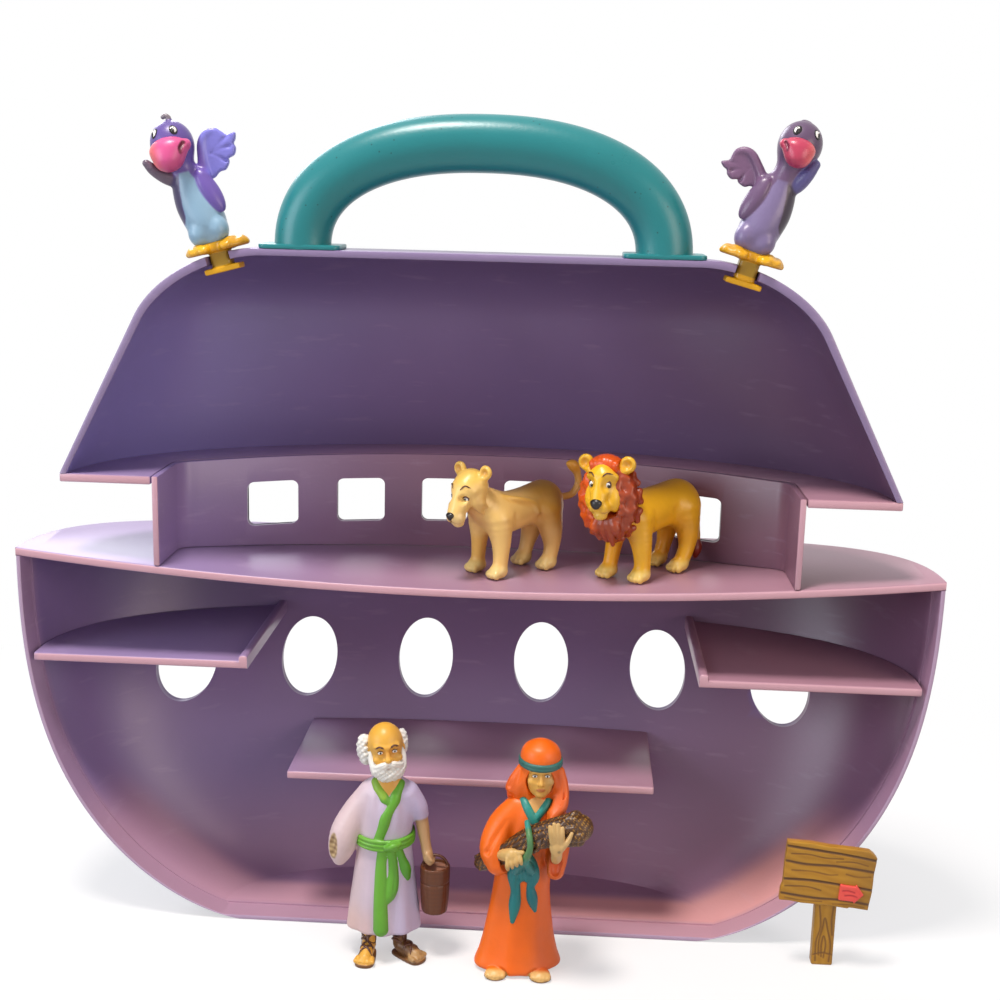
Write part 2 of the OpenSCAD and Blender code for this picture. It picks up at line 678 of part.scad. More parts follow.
// Skull, neck, nose, ears, brows and cheeks
module man_head_form(g = 0) {
    chain([[man_head_x, -0.4, 80.6, 6.6], [man_face_x, -1.6, 74.6, 5.2]], g);
    chain([[man_face_x, -0.6, 72.6, 3.6], [-0.6, -0.4, 68.6, 3.4]], g);
    chain([[man_face_x, -6.6, 79, 0.9], [man_face_x, -7.8, 76.4, 1.3]], g);
    for (s = [-1, 1]) {
        chain([[man_head_x + 6.4 * s, 0.2, 79, 1.3], [man_head_x + 6.2 * s, 0, 76.6, 1]], g);
        chain([[man_face_x + 1.4 * s, -6.4, 81.2, 0.9], [man_face_x + 4 * s, -5.2, 81, 0.8]], g);
        chain([[man_face_x + 2.4 * s, -5.4, 76.4, 1.5], [man_face_x + 3.8 * s, -4.2, 75.6, 1.4]], g);
    }
}

// Locks of the beard, side hair and the hair round the back of the head
module man_beard_form() {
    for (v = [-70:20:70])
        chain([[man_face_x + 5.2 * sin(v), -1.4 - 4.8 * cos(v), 75, 1.6],
               [man_face_x + 5 * sin(v), -1.8 - 5 * cos(v), 71.4, 2]]);
    for (x = [-3:2:3])
        chain([[man_face_x + x, -6.2, 72.2, 1.8], [man_face_x + 0.6 * x, -6.4, 69.3, 1.9]]);
    chain([[-6.8, 1.6, 81.4, 1.9], [-8.6, 2, 77.4, 2.3], [-6.6, 3, 73.8, 2]]);
    chain([[4, 1.8, 83, 1.6], [4.8, 2.4, 80, 1.7], [4.2, 3, 75.4, 1.9]]);
    chain([[-6, 4.6, 78, 2], [man_head_x, 6, 78, 2.2], [3.4, 4.6, 78, 2]]);
}

// Belt, knot, three tails and the crossed collar
module man_sash_form() {
    loft([[-1.35, 0, 43.2, 10.9, 9], [-1.35, 0, 47.4, 10.7, 8.8]]);
    chain([[1.4, -8.8, 45.4, 2], [4.4, -8.4, 45.8, 1.8]]);
    chain([[-0.6, -9, 43.4, 1.6], [-1.8, -9.6, 28, 1.9], [-2, -10.4, 13, 2]]);
    chain([[1.4, -9.2, 43.4, 1.4], [1.8, -9.8, 32, 1.7], [1.2, -10.2, 25, 1.7]]);
    chain([[4, -8.6, 43.6, 1.2], [6.4, -8.8, 36.6, 1.4], [7.6, -8.6, 32.4, 1.7]]);
    chain([[4.6, -4.4, 66, 1.2], [0.6, -7, 61.4, 1.3], [-1.6, -7.8, 54, 1.3], [-2.6, -7.8, 47.4, 1.2]]);
    chain([[-4.8, -4.2, 66.2, 1.2], [-0.8, -7, 61.6, 1.1]]);
}

// Foot with its ankle, sole and two straps, from the heel towards the toes
foot_wide = 2.6;
module sandal(heel, toe) {
    side = unit([-(toe[1] - heel[1]), toe[0] - heel[0]]);
    chain([[heel[0], heel[1], 12, 2.7], [heel[0], heel[1], 4, 2.7], [toe[0], toe[1], 3, 2.7]]);
    hull() {
        translate(heel) cylinder(r = 3, h = 1.4, $fn = 16);
        translate(toe) cylinder(r = 3.8, h = 1.4, $fn = 16);
    }
    for (f = [0.4, 0.8]) {
        c = heel + f * (toe - heel);
        a = c + foot_wide * side;
        b = c - foot_wide * side;
        chain([[a[0], a[1], 1.8, 0.8], [c[0], c[1], 6 - f, 0.8], [b[0], b[1], 1.8, 0.8]]);
    }
}

bucket_at = [16.8, -1, 17.6];
bucket_r = 5.1;
bucket_depth = 17.4;
bucket_lip = 0.8;
bucket_sunk = 1.4;
bail_r = 4.4;
bail_wire = 0.55;

module man_bail(g, sides) translate(bucket_at)
    translate([0, 0, bucket_depth - bail_wire])
        rotate([90, 0, 0])
            rotate_extrude(angle = 180, $fn = 36)
                translate([bail_r, 0]) circle(r = bail_wire + g, $fn = sides);

module man_bucket_form() {
    translate(bucket_at)
        rotate_extrude($fn = 36)
            polygon([[0, 0], [bucket_r - bucket_lip, 0], [bucket_r - bucket_lip / 4, bucket_depth * 0.6],
                     [bucket_r, bucket_depth], [bucket_r - bucket_lip, bucket_depth],
                     [bucket_r - bucket_lip, bucket_depth - bucket_sunk], [0, bucket_depth - bucket_sunk]]);
    man_bail(0, 16);
}

module place_man() translate([man_x, -man_y, 0]) scale(man_h / man_drawn) children();

module man_robe() color(ROBE) place_man()
    difference() {
        man_robe_form();
        man_bail(part_fit, 8);
    }
module man_head() color(SKIN) place_man()
    difference() {
        man_head_form();
        man_robe_form(part_fit);
    }
module man_beard() color(WHITE) place_man()
    difference() {
        man_beard_form();
        man_head_form(part_fit);
        man_robe_form(part_fit);
    }
module man_sash() color(GREEN) place_man()
    difference() {
        man_sash_form();
        man_robe_form(part_fit);
        man_beard_form();
    }
module man_sandals() color(BROWN) place_man()
    difference() {
        union() {
            sandal([-6.4, -2.4], [-6.9, -10]);
            sandal([4.4, -1.4], [11, -6]);
        }
        man_robe_form(part_fit);
    }
module man_bucket() color(BROWN) place_man() man_bucket_form();

woman_rings = [[-0.4, 0, 0, 14.4, 11.2], [-0.4, 0, 1.6, 15.2, 11.8], [-0.3, 0, 7, 13.6, 10.6],
               [-0.1, 0, 16, 11.9, 9.4], [0.6, 0, 31, 10.1, 8.2], [2, 0, 44, 10.2, 7.8],
               [3.6, 0.2, 55, 10.2, 7.2], [4.8, 0.3, 61, 8.4, 6], [5.6, 0.4, 65.2, 4.2, 4]];
woman_left = [[-1.6, 0, 59.6, 4.6], [-6.6, -2, 53, 5.4], [-8.8, -4.4, 45.4, 5.8], [-6.4, -7.4, 41, 4]];
woman_right = [[11, 0, 58.8, 4.2], [13.2, -3, 51, 4.2], [12.4, -6.6, 43, 3.6], [12, -8, 39, 2.8]];
// Middle line and radius of the bundle, and the share of the radius that a stick takes
bundle = [[-13.8, -1.4, 38.5, 3], [-4, -8.2, 46.5, 3.7], [6, -12.5, 54.6, 4.4], [20, -12.5, 58.5, 6]];
stick_share = 0.55;
stick_count = 5;

module woman_robe_form(g = 0) {
    loft(grown(woman_rings, g));
    chain(woman_left, g);
    chain(woman_right, g);
    for (x = [-9, -4, 5, 9])
        chain([[1 + 0.6 * x, -6.8, 33, 0.7], [x, -10 + 0.03 * x * x, 2.2, 1.3]], g);
    for (x = [-6, 0, 6])
        chain([[1 + 0.6 * x, 7, 33, 0.7], [x, 10 - 0.03 * x * x, 2.2, 1.3]], g);
    // toes under the hem
    for (x = [-7.4, 8.4])
        chain([[x - 1.6, -11.2, 1.9, 1.9], [x + 1.6, -11.2, 1.9, 1.9]], g);
}

// Skull, neck, nose, brows, cheeks and lips
woman_head_x = 6;
module woman_head_form(g = 0) {
    chain([[woman_head_x, -0.8, 74.8, 6], [woman_head_x, -2, 70.4, 4.6]], g);
    chain([[woman_head_x, -0.4, 68.4, 3.2], [5.8, 0, 65.4, 3]], g);
    chain([[woman_head_x, -6.6, 74.2, 0.7], [woman_head_x, -7.3, 71.8, 1]], g);
    for (s = [-1, 1]) {
        chain([[woman_head_x + 1.3 * s, -6, 75.2, 0.7], [woman_head_x + 3.6 * s, -5, 75, 0.6]], g);
        chain([[woman_head_x + 2.2 * s, -5, 71.8, 1.4], [woman_head_x + 3.4 * s, -4, 71, 1.2]], g);
        chain([[woman_head_x + 0.2 * s, -6, 69.2, 0.8], [woman_head_x + 1.4 * s, -5.6, 69.4, 0.6]], g);
    }
}

veil_rings = [[5.6, 3.4, 59, 9.4, 4.4], [5, 2.8, 63, 10.4, 5.8], [5.4, 1.8, 67.4, 9.6, 7.2],
              [6, 0.8, 72, 7.9, 7.8], [6, 0.4, 76.6, 7.2, 7.5], [5.95, 0.2, 80.4, 6.5, 6.9],
              [5.9, 0, 83.2, 4.7, 5.1], [5.9, 0, 84.6, 2.2, 2.4], [5.9, 0, 85, 0.6, 0.6]];
band_at = [5.95, 0.1, 77.2];
band_r = 7.3;
band_wire = 1.1;

// Veil with folds at the sides and an opening for the face
module woman_veil_form() {
    difference() {
        union() {
            loft(veil_rings);
            for (s = [-1, 1], k = [0:2])
                chain([[6 + 6.8 * s, 0.6 + 1.6 * k, 74.6, 0.9], [5.4 + 9.4 * s, 2.2 + 1.6 * k, 62, 1.3]]);
            // end of the veil over the chest
            chain([[14.6, -1.6, 67, 1.6], [13.6, -5, 62, 1.7], [9.6, -7.4, 58.6, 1.4]]);
        }
        chain([[woman_head_x, -8.6, 70.2, 7.4], [woman_head_x, -9.4, 64, 7]]);
        chain([[4.6, -9.4, 64, 7], [3, -10, 54, 7.6]]);
    }
}

// Palms and fingers
module woman_hands_form(g = 0) {
    chain([[-6, -9.4, 45, 2.4], [-2.6, -13.4, 48.2, 2.8]], g);
    chain([[12.2, -9, 44, 2.2], [12.9, -15, 48.4, 2.2], [12.5, -18.4, 54.4, 2.4]], g);
    chain([[14, -18.6, 54.6, 1.1], [17, -18.4, 58.6, 0.9]], g);
    for (k = [0:3]) {
        chain([[-3.2 + 1.1 * k, -14.8, 47 + 0.3 * k, 1.2], [-3.4 + 1.5 * k, -14.4, 44 + 0.8 * k, 0.9]], g);
        chain([[10.8 + 1.1 * k, -18.8, 56.4, 1.1],
               [10.1 + 1.37 * k, -19, 62.4 - 0.5 * pow(k - 1.5, 2), 0.8]], g);
    }
}

module bundle_form(g = 0) {
    span = bundle[len(bundle) - 1] - bundle[0];
    run = unit([span[0], span[1], span[2]]);
    u = unit(cross(run, [0, 1, 0]));
    v = cross(run, u);
    chain([for (p = bundle) [p[0], p[1], p[2], stick_share * p[3]]], g);
    for (k = [0:stick_count - 1]) {
        turn = 360 * k / stick_count;
        o = stick_share * (u * cos(turn) + v * sin(turn));
        chain([for (p = bundle)
            [p[0] + p[3] * o[0], p[1] + p[3] * o[1], p[2] + p[3] * o[2], stick_share * p[3]]], g);
    }
}

// Collar, tie over the bundle and its two tails
module woman_sash_form() {
    chain([[-0.2, -4.6, 64.4, 1.2], [4.4, -7, 58, 1.3]]);
    chain([[9.8, -4.6, 64.4, 1.2], [5.2, -7, 59.6, 1.1]]);
    chain([[2.4, -13, 58.4, 1], [3.4, -16.4, 54.8, 1], [3.4, -16, 50, 1.1], [1.4, -13.4, 46.4, 1.8]]);
    chain([[1.2, -12.4, 45.6, 2], [-1.6, -10, 39.6, 2.2], [-1.5, -9.6, 30, 1.9], [-2, -10, 20.4, 0.9]]);
    chain([[1.8, -12.4, 45.6, 2], [4.2, -10, 39.6, 2.2], [4.7, -9.6, 31, 1.9], [5.8, -9.8, 24.2, 0.9]]);
}

module place_woman() translate([woman_x, -woman_y, 0]) scale(woman_h / woman_drawn) children();

module woman_robe() color(ORANGE) place_woman()
    difference() {
        woman_robe_form();
        bundle_form(part_fit);
    }
module woman_head() color(SKIN) place_woman()
    difference() {
        woman_head_form();
        woman_robe_form(part_fit);
        woman_band_ring(2 * part_fit, 20, 8);
    }
module woman_head_cloth() color(ORANGE) place_woman()
    difference() {
        woman_veil_form();
        woman_head_form(2 * part_fit);
        woman_robe_form(part_fit);
        bundle_form(part_fit);
        woman_band_ring(2 * part_fit, 20, 8);
    }
module woman_band_ring(g, around, sides)
    translate(band_at)
        rotate_extrude($fn = around) translate([band_r, 0]) circle(r = band_wire + g, $fn = sides);
module woman_headband() color(TEAL) place_woman() woman_band_ring(0, 40, 16);
module woman_hands() color(SKIN) place_woman()
    difference() {
        woman_hands_form();
        woman_robe_form(part_fit);
    }
module stick_bundle() color(BROWN) place_woman()
    difference() {
        bundle_form();
        woman_hands_form(part_fit);
    }
module woman_sash() color(TEAL) place_woman()
    difference() {
        woman_sash_form();
        woman_robe_form(part_fit);
        woman_hands_form(part_fit);
        bundle_form(part_fit);
        woman_veil_form();
    }

// Signpost with a plank board and a plain arrow
plank_gap = 0.6;
plank_count = 3;
plank_h = (board_h - (plank_count - 1) * plank_gap) / plank_count;
board_out = 0.5;
arrow_l = 8.4;
arrow_h = 7.6;
arrow_block = 5.6;
arrow_block_h = 5.9;
arrow_t = 0.8;
arrow_x = 4.6;
arrow_z = -5.4;

module place_board()
    translate([sign_x - board_out, -sign_y - post_d / 2, board_z + board_h / 2])
        rotate([0, board_lean, 0]) children();

module sign_post() color(WOOD)
    translate([sign_x - post_w / 2, -sign_y - post_d / 2, 0])
        cube([post_w, post_d, board_z + 0.8 * board_h]);

module sign_board() color(WOOD) place_board() {
    translate([-board_w / 2, -board_t + plank_gap, -board_h / 2])
        cube([board_w, board_t - plank_gap, board_h]);
    for (i = [0:plank_count - 1])
        translate([-board_w / 2, -board_t, -board_h / 2 + i * (plank_h + plank_gap)])
            cube([board_w, board_t, plank_h]);
}

module sign_arrow() color(RED) place_board()
    translate([arrow_x, -board_t, arrow_z])
        rotate([90, 0, 0])
            linear_extrude(arrow_t)
                polygon([[arrow_l, 0], [arrow_block, arrow_h / 2], [arrow_block, arrow_block_h / 2],
                         [0, arrow_block_h / 2], [0, -arrow_block_h / 2],
                         [arrow_block, -arrow_block_h / 2], [arrow_block, -arrow_h / 2]]);

hull_shell();
main_deck();
left_shelf();
right_shelf();
lower_shelf();
cabin_wall();
eave_ledge();
roof_shell();
carry_handle();
left_bird_clip();
left_bird_body();
left_bird_bill();
right_bird_clip();
right_bird_body();
right_bird_bill();
lion_body();
lion_head();
lion_mane();
lioness_body();
lioness_head();
man_robe();
man_head();
man_beard();
man_sash();
man_sandals();
man_bucket();
woman_robe();
woman_head();
woman_head_cloth();
woman_headband();
woman_sash();
woman_hands();
stick_bundle();
sign_post();
sign_board();
sign_arrow();
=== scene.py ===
"""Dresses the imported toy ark: shells, handle, birds, lions, people and signpost."""
import json
import math

import bmesh
import bpy
import numpy as np
from mathutils import Matrix, Vector


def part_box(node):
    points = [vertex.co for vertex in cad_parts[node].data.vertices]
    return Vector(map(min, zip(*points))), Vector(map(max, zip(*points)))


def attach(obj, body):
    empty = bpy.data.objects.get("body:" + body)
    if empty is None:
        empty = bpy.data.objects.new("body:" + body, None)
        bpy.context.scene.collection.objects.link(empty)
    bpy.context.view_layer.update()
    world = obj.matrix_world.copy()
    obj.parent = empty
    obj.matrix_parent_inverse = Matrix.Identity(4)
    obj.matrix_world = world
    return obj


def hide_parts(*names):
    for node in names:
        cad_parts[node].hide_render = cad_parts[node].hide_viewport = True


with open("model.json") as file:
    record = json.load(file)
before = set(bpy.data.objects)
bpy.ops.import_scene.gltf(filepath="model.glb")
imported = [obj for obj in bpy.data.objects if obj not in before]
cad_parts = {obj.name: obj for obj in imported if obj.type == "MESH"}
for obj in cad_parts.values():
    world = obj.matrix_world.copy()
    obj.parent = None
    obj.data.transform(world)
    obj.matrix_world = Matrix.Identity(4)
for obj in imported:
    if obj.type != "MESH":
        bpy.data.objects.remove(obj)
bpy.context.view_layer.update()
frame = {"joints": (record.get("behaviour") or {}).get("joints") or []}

# Shapes are drawn in millimetres in the row frame and scaled to metres at the end.
MM = 0.001

# Sizes of the ark in millimetres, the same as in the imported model
HULL_HALF, HULL_DEPTH, KEEL_HALF, KEEL_DEPTH = 164, 90, 83, 48
HULL_WALL, FLOOR_T, RIM_BAND, RIM_STEP = 2.4, 2.6, 9, 0.8
HULL_E, BILGE_TURN, BILGE_ROUND, FLARE_POWER = 0.8, 2.4, 0.62, 1.25
PORT_W, PORT_H, PORT_Z, PORT_PITCH, PORT_FRAME, PORT_LIP = 22, 29, 82, 47, 2.5, 1.2
DECK_Z, DECK_SHEER, DECK_T, SHELF_T, SHELF_FIT = 131, 4.4, 3, 3, 0.3
SIDE_SHELF_Z, SIDE_SHELF_X, SHELF_LIP, LOW_SHELF_Z, LOW_SHELF_HALF = 101.4, 84, 2, 60, 66.8
CABIN_HALF, CABIN_END, CABIN_DEPTH, CABIN_CORNER, CABIN_BOW, CABIN_T = 112, 28, 62, 1.5, 2.2, 2.2
EAVE_Z, LEDGE_T, LEDGE_FIT = 168, 3, 0.4
WINDOW_W, WINDOW_H, WINDOW_PITCH, WINDOW_Z, WINDOW_R, WINDOW_FRAME = 18, 17, 32.2, 150, 2.5, 2
ROOF_Z, ROOF_HALF, ROOF_DEPTH, ROOF_TAPER, ROOF_CORNER = 248, 147, 86, 40, 31
ROOF_LEAN, ROOF_CROWN, ROOF_WALL, ROOF_TURN, ROOF_SQUARE = 44, 20, 2.4, 0.7, 0.65
HANDLE_HALF, HANDLE_RISE, GRIP_H, GRIP_D, ARCH_POWER = 61.8, 36.4, 19.4, 18, 2.3
FLANGE_L, FLANGE_T = 28, 1.6
CLIP_X, CLIP_Y, NECK_D, NECK_FIT, RIGHT_RISE, RIGHT_IN = 89.8, 6, 7, 0.3, 1.6, 2.2
# Rounding of edges, and the gap under a piece that stands on the deck
EDGE, SEAT = 0.5, 0.12

# Shading in degrees: edges sharper than SHARP stay sharp, ROUND keeps small round details smooth
SHARP, ROUND, BEVEL_FROM = 35, 60, 40
WELD = 1e-4
# The right and the left side of the ark, or of a face
BOTH = (1, -1)


# Mesh helpers

def link(name, data):
    """Puts an object with the given data in the scene."""
    obj = bpy.data.objects.new(name, data)
    bpy.context.scene.collection.objects.link(obj)
    return obj


def make_object(name, verts, faces, angle=SHARP):
    """A clean, smooth-shaded object from points in millimetres."""
    mesh = bpy.data.meshes.new(name)
    mesh.from_pydata([tuple(v) for v in verts], [], [tuple(f) for f in faces])
    bm = bmesh.new()
    bm.from_mesh(mesh)
    bmesh.ops.remove_doubles(bm, verts=bm.verts, dist=WELD)
    bmesh.ops.dissolve_degenerate(bm, edges=bm.edges, dist=WELD)
    bmesh.ops.recalc_face_normals(bm, faces=bm.faces)
    bm.to_mesh(mesh)
    bm.free()
    shade(mesh, angle)
    return link(name, mesh)


def shade(mesh, angle):
    """Smooth shading, with edges sharper than angle kept sharp."""
    mesh.polygons.foreach_set("use_smooth", [True] * len(mesh.polygons))
    mesh.set_sharp_from_angle(angle=math.radians(angle))


def apply_modifiers(obj):
    """Replaces an object's mesh by the result of its modifiers."""
    graph = bpy.context.evaluated_depsgraph_get()
    mesh = bpy.data.meshes.new_from_object(obj.evaluated_get(graph))
    obj.modifiers.clear()
    obj.data = mesh
    shade(mesh, SHARP)
    return obj


def bevel(obj, width=EDGE):
    """Rounds an object's sharp edges."""
    mod = obj.modifiers.new("edges", "BEVEL")
    mod.width = width
    mod.segments = 2
    mod.limit_method = "ANGLE"
    mod.angle_limit = math.radians(BEVEL_FROM)
    return apply_modifiers(obj)


def cut(obj, cutter):
    """Takes one object out of another."""
    mod = obj.modifiers.new("cut", "BOOLEAN")
    mod.operation = "DIFFERENCE"
    mod.solver = "EXACT"
    mod.object = cutter
    apply_modifiers(obj)
    bpy.data.objects.remove(cutter)
    return obj


def grid_faces(rows, cols, closed=False):
    """Quads of a grid of points that is stored row by row."""
    last = cols if closed else cols - 1
    return [(r * cols + c, r * cols + (c + 1) % cols, (r + 1) * cols + (c + 1) % cols, (r + 1) * cols + c)
            for r in range(rows - 1) for c in range(last)]


def with_mirror(loops):
    """Loops of the right half, from the front to the middle, followed by those of the left half."""
    return loops + [[(-x, y, z) for x, y, z in loop] for loop in loops[-2::-1]]


def around(count):
    """Angles of count even steps round a circle."""
    return np.linspace(0, 2 * math.pi, count, endpoint=False)


def loft(name, loops, angle=SHARP):
    """A closed solid through loops that have the same number of points."""
    loops = [np.asarray(l, float) for l in loops]
    n = len(loops[0])
    faces = grid_faces(len(loops), n, closed=True)
    faces.append(tuple(range(n - 1, -1, -1)))
    faces.append(tuple(range((len(loops) - 1) * n, len(loops) * n)))
    return make_object(name, np.concatenate(loops), faces, angle)


def join(name, objs):
    """One object from several, with their materials."""
    with bpy.context.temp_override(active_object=objs[0], selected_editable_objects=objs,
                                   selected_objects=objs):
        bpy.ops.object.join()
    objs[0].name = name
    return objs[0]


def place(obj, body, slot, material=None, replaces=()):
    """Scales a drawn object to metres and hands it over to the frame."""
    obj.data.transform(Matrix.Scale(MM, 4))
    if material:
        obj.data.materials.clear()
        obj.data.materials.append(material)
    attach(obj, body)
    if replaces:
        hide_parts(*replaces)
    return obj


# Materials

def srgb(r, g, b):
    """Linear colour from 8-bit values."""
    return tuple((c / 255 / 12.92) if c <= 10 else ((c / 255 + 0.055) / 1.055) ** 2.4 for c in (r, g, b))


# Textures: features in a metre, depth of the fine grain, range of the clouds and tint of rubbed marks
GRAIN_SCALE, SCUFF_SCALE, FLECK_SCALE = 900.0, 60.0, 260.0
GRAIN_DEPTH = 0.0004
CLOUD_RANGE = (0.2, 0.8)
SCUFF_COLOR = srgb(225, 205, 225)


def node(tree, kind, inputs=None, **props):
    """A shader node whose inputs are values or other nodes' outputs."""
    item = tree.nodes.new(kind)
    for key, value in props.items():
        setattr(item, key, value)
    for key, value in (inputs or {}).items():
        if isinstance(value, bpy.types.NodeSocket):
            tree.links.new(value, item.inputs[key])
        else:
            item.inputs[key].default_value = value
    return item


def remap(tree, value, start, end, low, high):
    """Moves a shader value from one range to another."""
    return node(tree, "ShaderNodeMapRange", {"Value": value, "From Min": start, "From Max": end,
                                             "To Min": low, "To Max": high}).outputs["Result"]


def plastic(name, color=None, tone=0.12, rough=(0.28, 0.42), grain=0.05, patch=0.03, fleck=None, scuff=0.0):
    """Moulded or painted plastic. Without a colour it shows the mesh's own paint.

    tone is how far the colour wanders over patches of the given size in metres, rough the range of its
    roughness, grain the depth of the fine surface texture, fleck the colour of rare specks and scuff the
    strength of rubbed marks.
    """
    mat = bpy.data.materials.new(name)
    mat.use_nodes = True
    tree = mat.node_tree
    shader = tree.nodes["Principled BSDF"]
    place_at = node(tree, "ShaderNodeTexCoord").outputs["Object"]
    clouds = node(tree, "ShaderNodeTexNoise", {"Vector": place_at, "Scale": 1 / patch, "Detail": 4.0})
    fine = node(tree, "ShaderNodeTexNoise", {"Vector": place_at, "Scale": GRAIN_SCALE, "Detail": 2.0})
    base = (*color, 1) if color else node(tree, "ShaderNodeVertexColor", layer_name="paint").outputs["Color"]
    shift = remap(tree, clouds.outputs["Fac"], *CLOUD_RANGE, 1 - tone, 1 + tone)
    tinted = node(tree, "ShaderNodeHueSaturation", {"Value": shift, "Color": base}).outputs["Color"]
    if scuff:
        streaks = node(tree, "ShaderNodeMapping", {"Vector": place_at, "Scale": (1.0, 1.0, 5.0),
                                                   "Rotation": (0.4, 0.9, 0.3)})
        marks = node(tree, "ShaderNodeTexNoise",
                     {"Vector": streaks.outputs["Vector"], "Scale": SCUFF_SCALE, "Detail": 6.0})
        mask = remap(tree, marks.outputs["Fac"], 0.6, 0.75, 0.0, scuff)
        tinted = mix_color(tree, mask, tinted, (*SCUFF_COLOR, 1))
    if fleck:
        dots = node(tree, "ShaderNodeTexVoronoi", {"Vector": place_at, "Scale": FLECK_SCALE})
        rare = remap(tree, dots.outputs["Distance"], 0.10, 0.06, 0.0, 0.8)
        tinted = mix_color(tree, rare, tinted, (*fleck, 1))
    tree.links.new(tinted, shader.inputs["Base Color"])
    gloss = remap(tree, clouds.outputs["Fac"], *CLOUD_RANGE, *rough)
    tree.links.new(gloss, shader.inputs["Roughness"])
    bump = node(tree, "ShaderNodeBump",
                {"Height": fine.outputs["Fac"], "Strength": grain, "Distance": GRAIN_DEPTH})
    tree.links.new(bump.outputs["Normal"], shader.inputs["Normal"])
    shader.inputs["Specular IOR Level"].default_value = 0.5
    return mat


def mix_color(tree, factor, a, b):
    """Colour a, laid over by colour b where factor is 1."""
    item = node(tree, "ShaderNodeMix", data_type="RGBA")
    tree.links.new(factor, item.inputs["Factor"])
    for socket, value in (("A", a), ("B", b)):
        target = [s for s in item.inputs if s.name == socket and s.type == "RGBA"][0]
        if isinstance(value, bpy.types.NodeSocket):
            tree.links.new(value, target)
        else:
            target.default_value = value
    return [s for s in item.outputs if s.type == "RGBA"][0]


PURPLE = plastic("shell_purple", tone=0.05, rough=(0.26, 0.36), grain=0.08, patch=0.06, scuff=0.08)
LILAC = plastic("trim_lilac", tone=0.04, rough=(0.3, 0.4), grain=0.06, patch=0.06, scuff=0.12)
TEAL = plastic("handle_teal", srgb(26, 126, 130), tone=0.06, rough=(0.26, 0.38), grain=0.10, patch=0.03,
               fleck=srgb(16, 74, 80))


# Paint: colours in 8-bit values, laid over one another by masks from 0 to 1

def ramp(value, start, end):
    """Soft mask that goes from 0 at start to 1 at end."""
    return smooth(np.clip((value - start) / (end - start), 0, 1))


def coats(points, base, *layers):
    """Colours at points from a base and layers given as (mask, colour)."""
    shades = np.tile(np.array(base, float), (len(points), 1))
    for mask, color in layers:
        shades += np.clip(mask, 0, 1)[:, None] * (np.array(color, float) - shades)
    return shades


def paint(mesh, shades):
    """Keeps 8-bit colours at a mesh's points as its paint."""
    shades = np.clip(shades / 255, 0, 1)
    linear = np.where(shades <= 0.04045, shades / 12.92, ((shades + 0.055) / 1.055) ** 2.4)
    colors = np.concatenate([linear, np.ones((len(linear), 1))], 1)
    layer = mesh.attributes.new("paint", "FLOAT_COLOR", "POINT")
    layer.data.foreach_set("color", colors.astype(np.float32).ravel())


def painted(obj, color):
    """Paints a drawn object by color(points, normals)."""
    count = len(obj.data.vertices)
    points, normals = np.empty(3 * count, np.float32), np.empty(3 * count, np.float32)
    obj.data.vertices.foreach_get("co", points)
    obj.data.vertices.foreach_get("normal", normals)
    paint(obj.data, color(points.reshape(-1, 3), normals.reshape(-1, 3)))
    return obj


OUTER_PURPLE = (128, 104, 154)


def sides(p, reach):
    """Masks of the left and the right part of the ark, out to reach, where each side's painted light and
    shade go.
    """
    return ramp(-p[:, 0], 0.1 * reach, reach), ramp(p[:, 0], 0.1 * reach, reach)


def facing_in(p, n, flat):
    """Mask of the surfaces that face the ark's inside. flat is 1 at a floor, -1 at a ceiling or else 0."""
    x, y, _ = p.T
    return ramp(-(n[:, 0] * x + n[:, 1] * y) / np.hypot(x, y + 1) + flat * n[:, 2], -0.2, 0.2)


def front_edge(p):
    """Mask of the edge that frames the open side."""
    return ramp(0.4 - p[:, 1], 0, 0.3)


def hull_color(p, n):
    """Purple outside. Inside it is duskier as painted shade, bluer on the left as painted cool light and
    warmer on the right as painted warm light, lighter low down and on the floor's front strip as painted
    pools of light, and paler on the rim band and front edge as painted light.
    """
    _, y, z = p.T
    left, right = sides(p, HULL_HALF)
    inside = facing_in(p, n, z < 20)
    # painted light: the lower inside walls and the floor are lighter
    lit_low_inside = 0.6 * ramp(48 - z, 0, 40) * inside
    # painted pool of light on the floor's front strip, cooler on the left and warmer on the right
    lit_floor_strip = 0.85 * ramp(30 - y, 0, 8) * ramp(52 - z, 0, 36) * inside
    # painted light on the rim band just inside the opening
    band = 0.6 * ramp(RIM_BAND + 0.6 - y, 0, 0.4) * inside
    # duskier inside as painted shade, painted cool light on the left, painted warm light on the right,
    # painted light on the front edge
    return coats(p, OUTER_PURPLE, (inside, (126, 100, 138)),
                 (0.6 * left * inside, (150, 134, 188)), (0.6 * right * inside, (134, 94, 110)),
                 (lit_low_inside, (164, 124, 148)), (lit_floor_strip, (224, 168, 170)), (lit_floor_strip * left, (172, 140, 176)),
                 (lit_floor_strip * right, (240, 172, 162)), (band, (172, 138, 162)), (front_edge(p), (182, 156, 184)))


def roof_color(p, n):
    """Purple outside. Inside it is duskier as painted shade, bluer on the left as painted cool light, and
    darker on the right and under the ceiling as painted shade. The front edge is paler.
    """
    _, _, z = p.T
    left, right = sides(p, ROOF_HALF)
    inside = facing_in(p, n, -1 * (z > 225))
    # duskier inside as painted shade, painted cool light on the left, painted shade on the right and under
    # the ceiling
    return coats(p, OUTER_PURPLE, (inside, (120, 102, 144)), (0.75 * left * inside, (146, 142, 212)),
                 (0.7 * right * inside, (106, 78, 98)), (0.5 * ramp(z, 215, 245) * inside, (92, 76, 118)),
                 (front_edge(p), (142, 124, 162)))


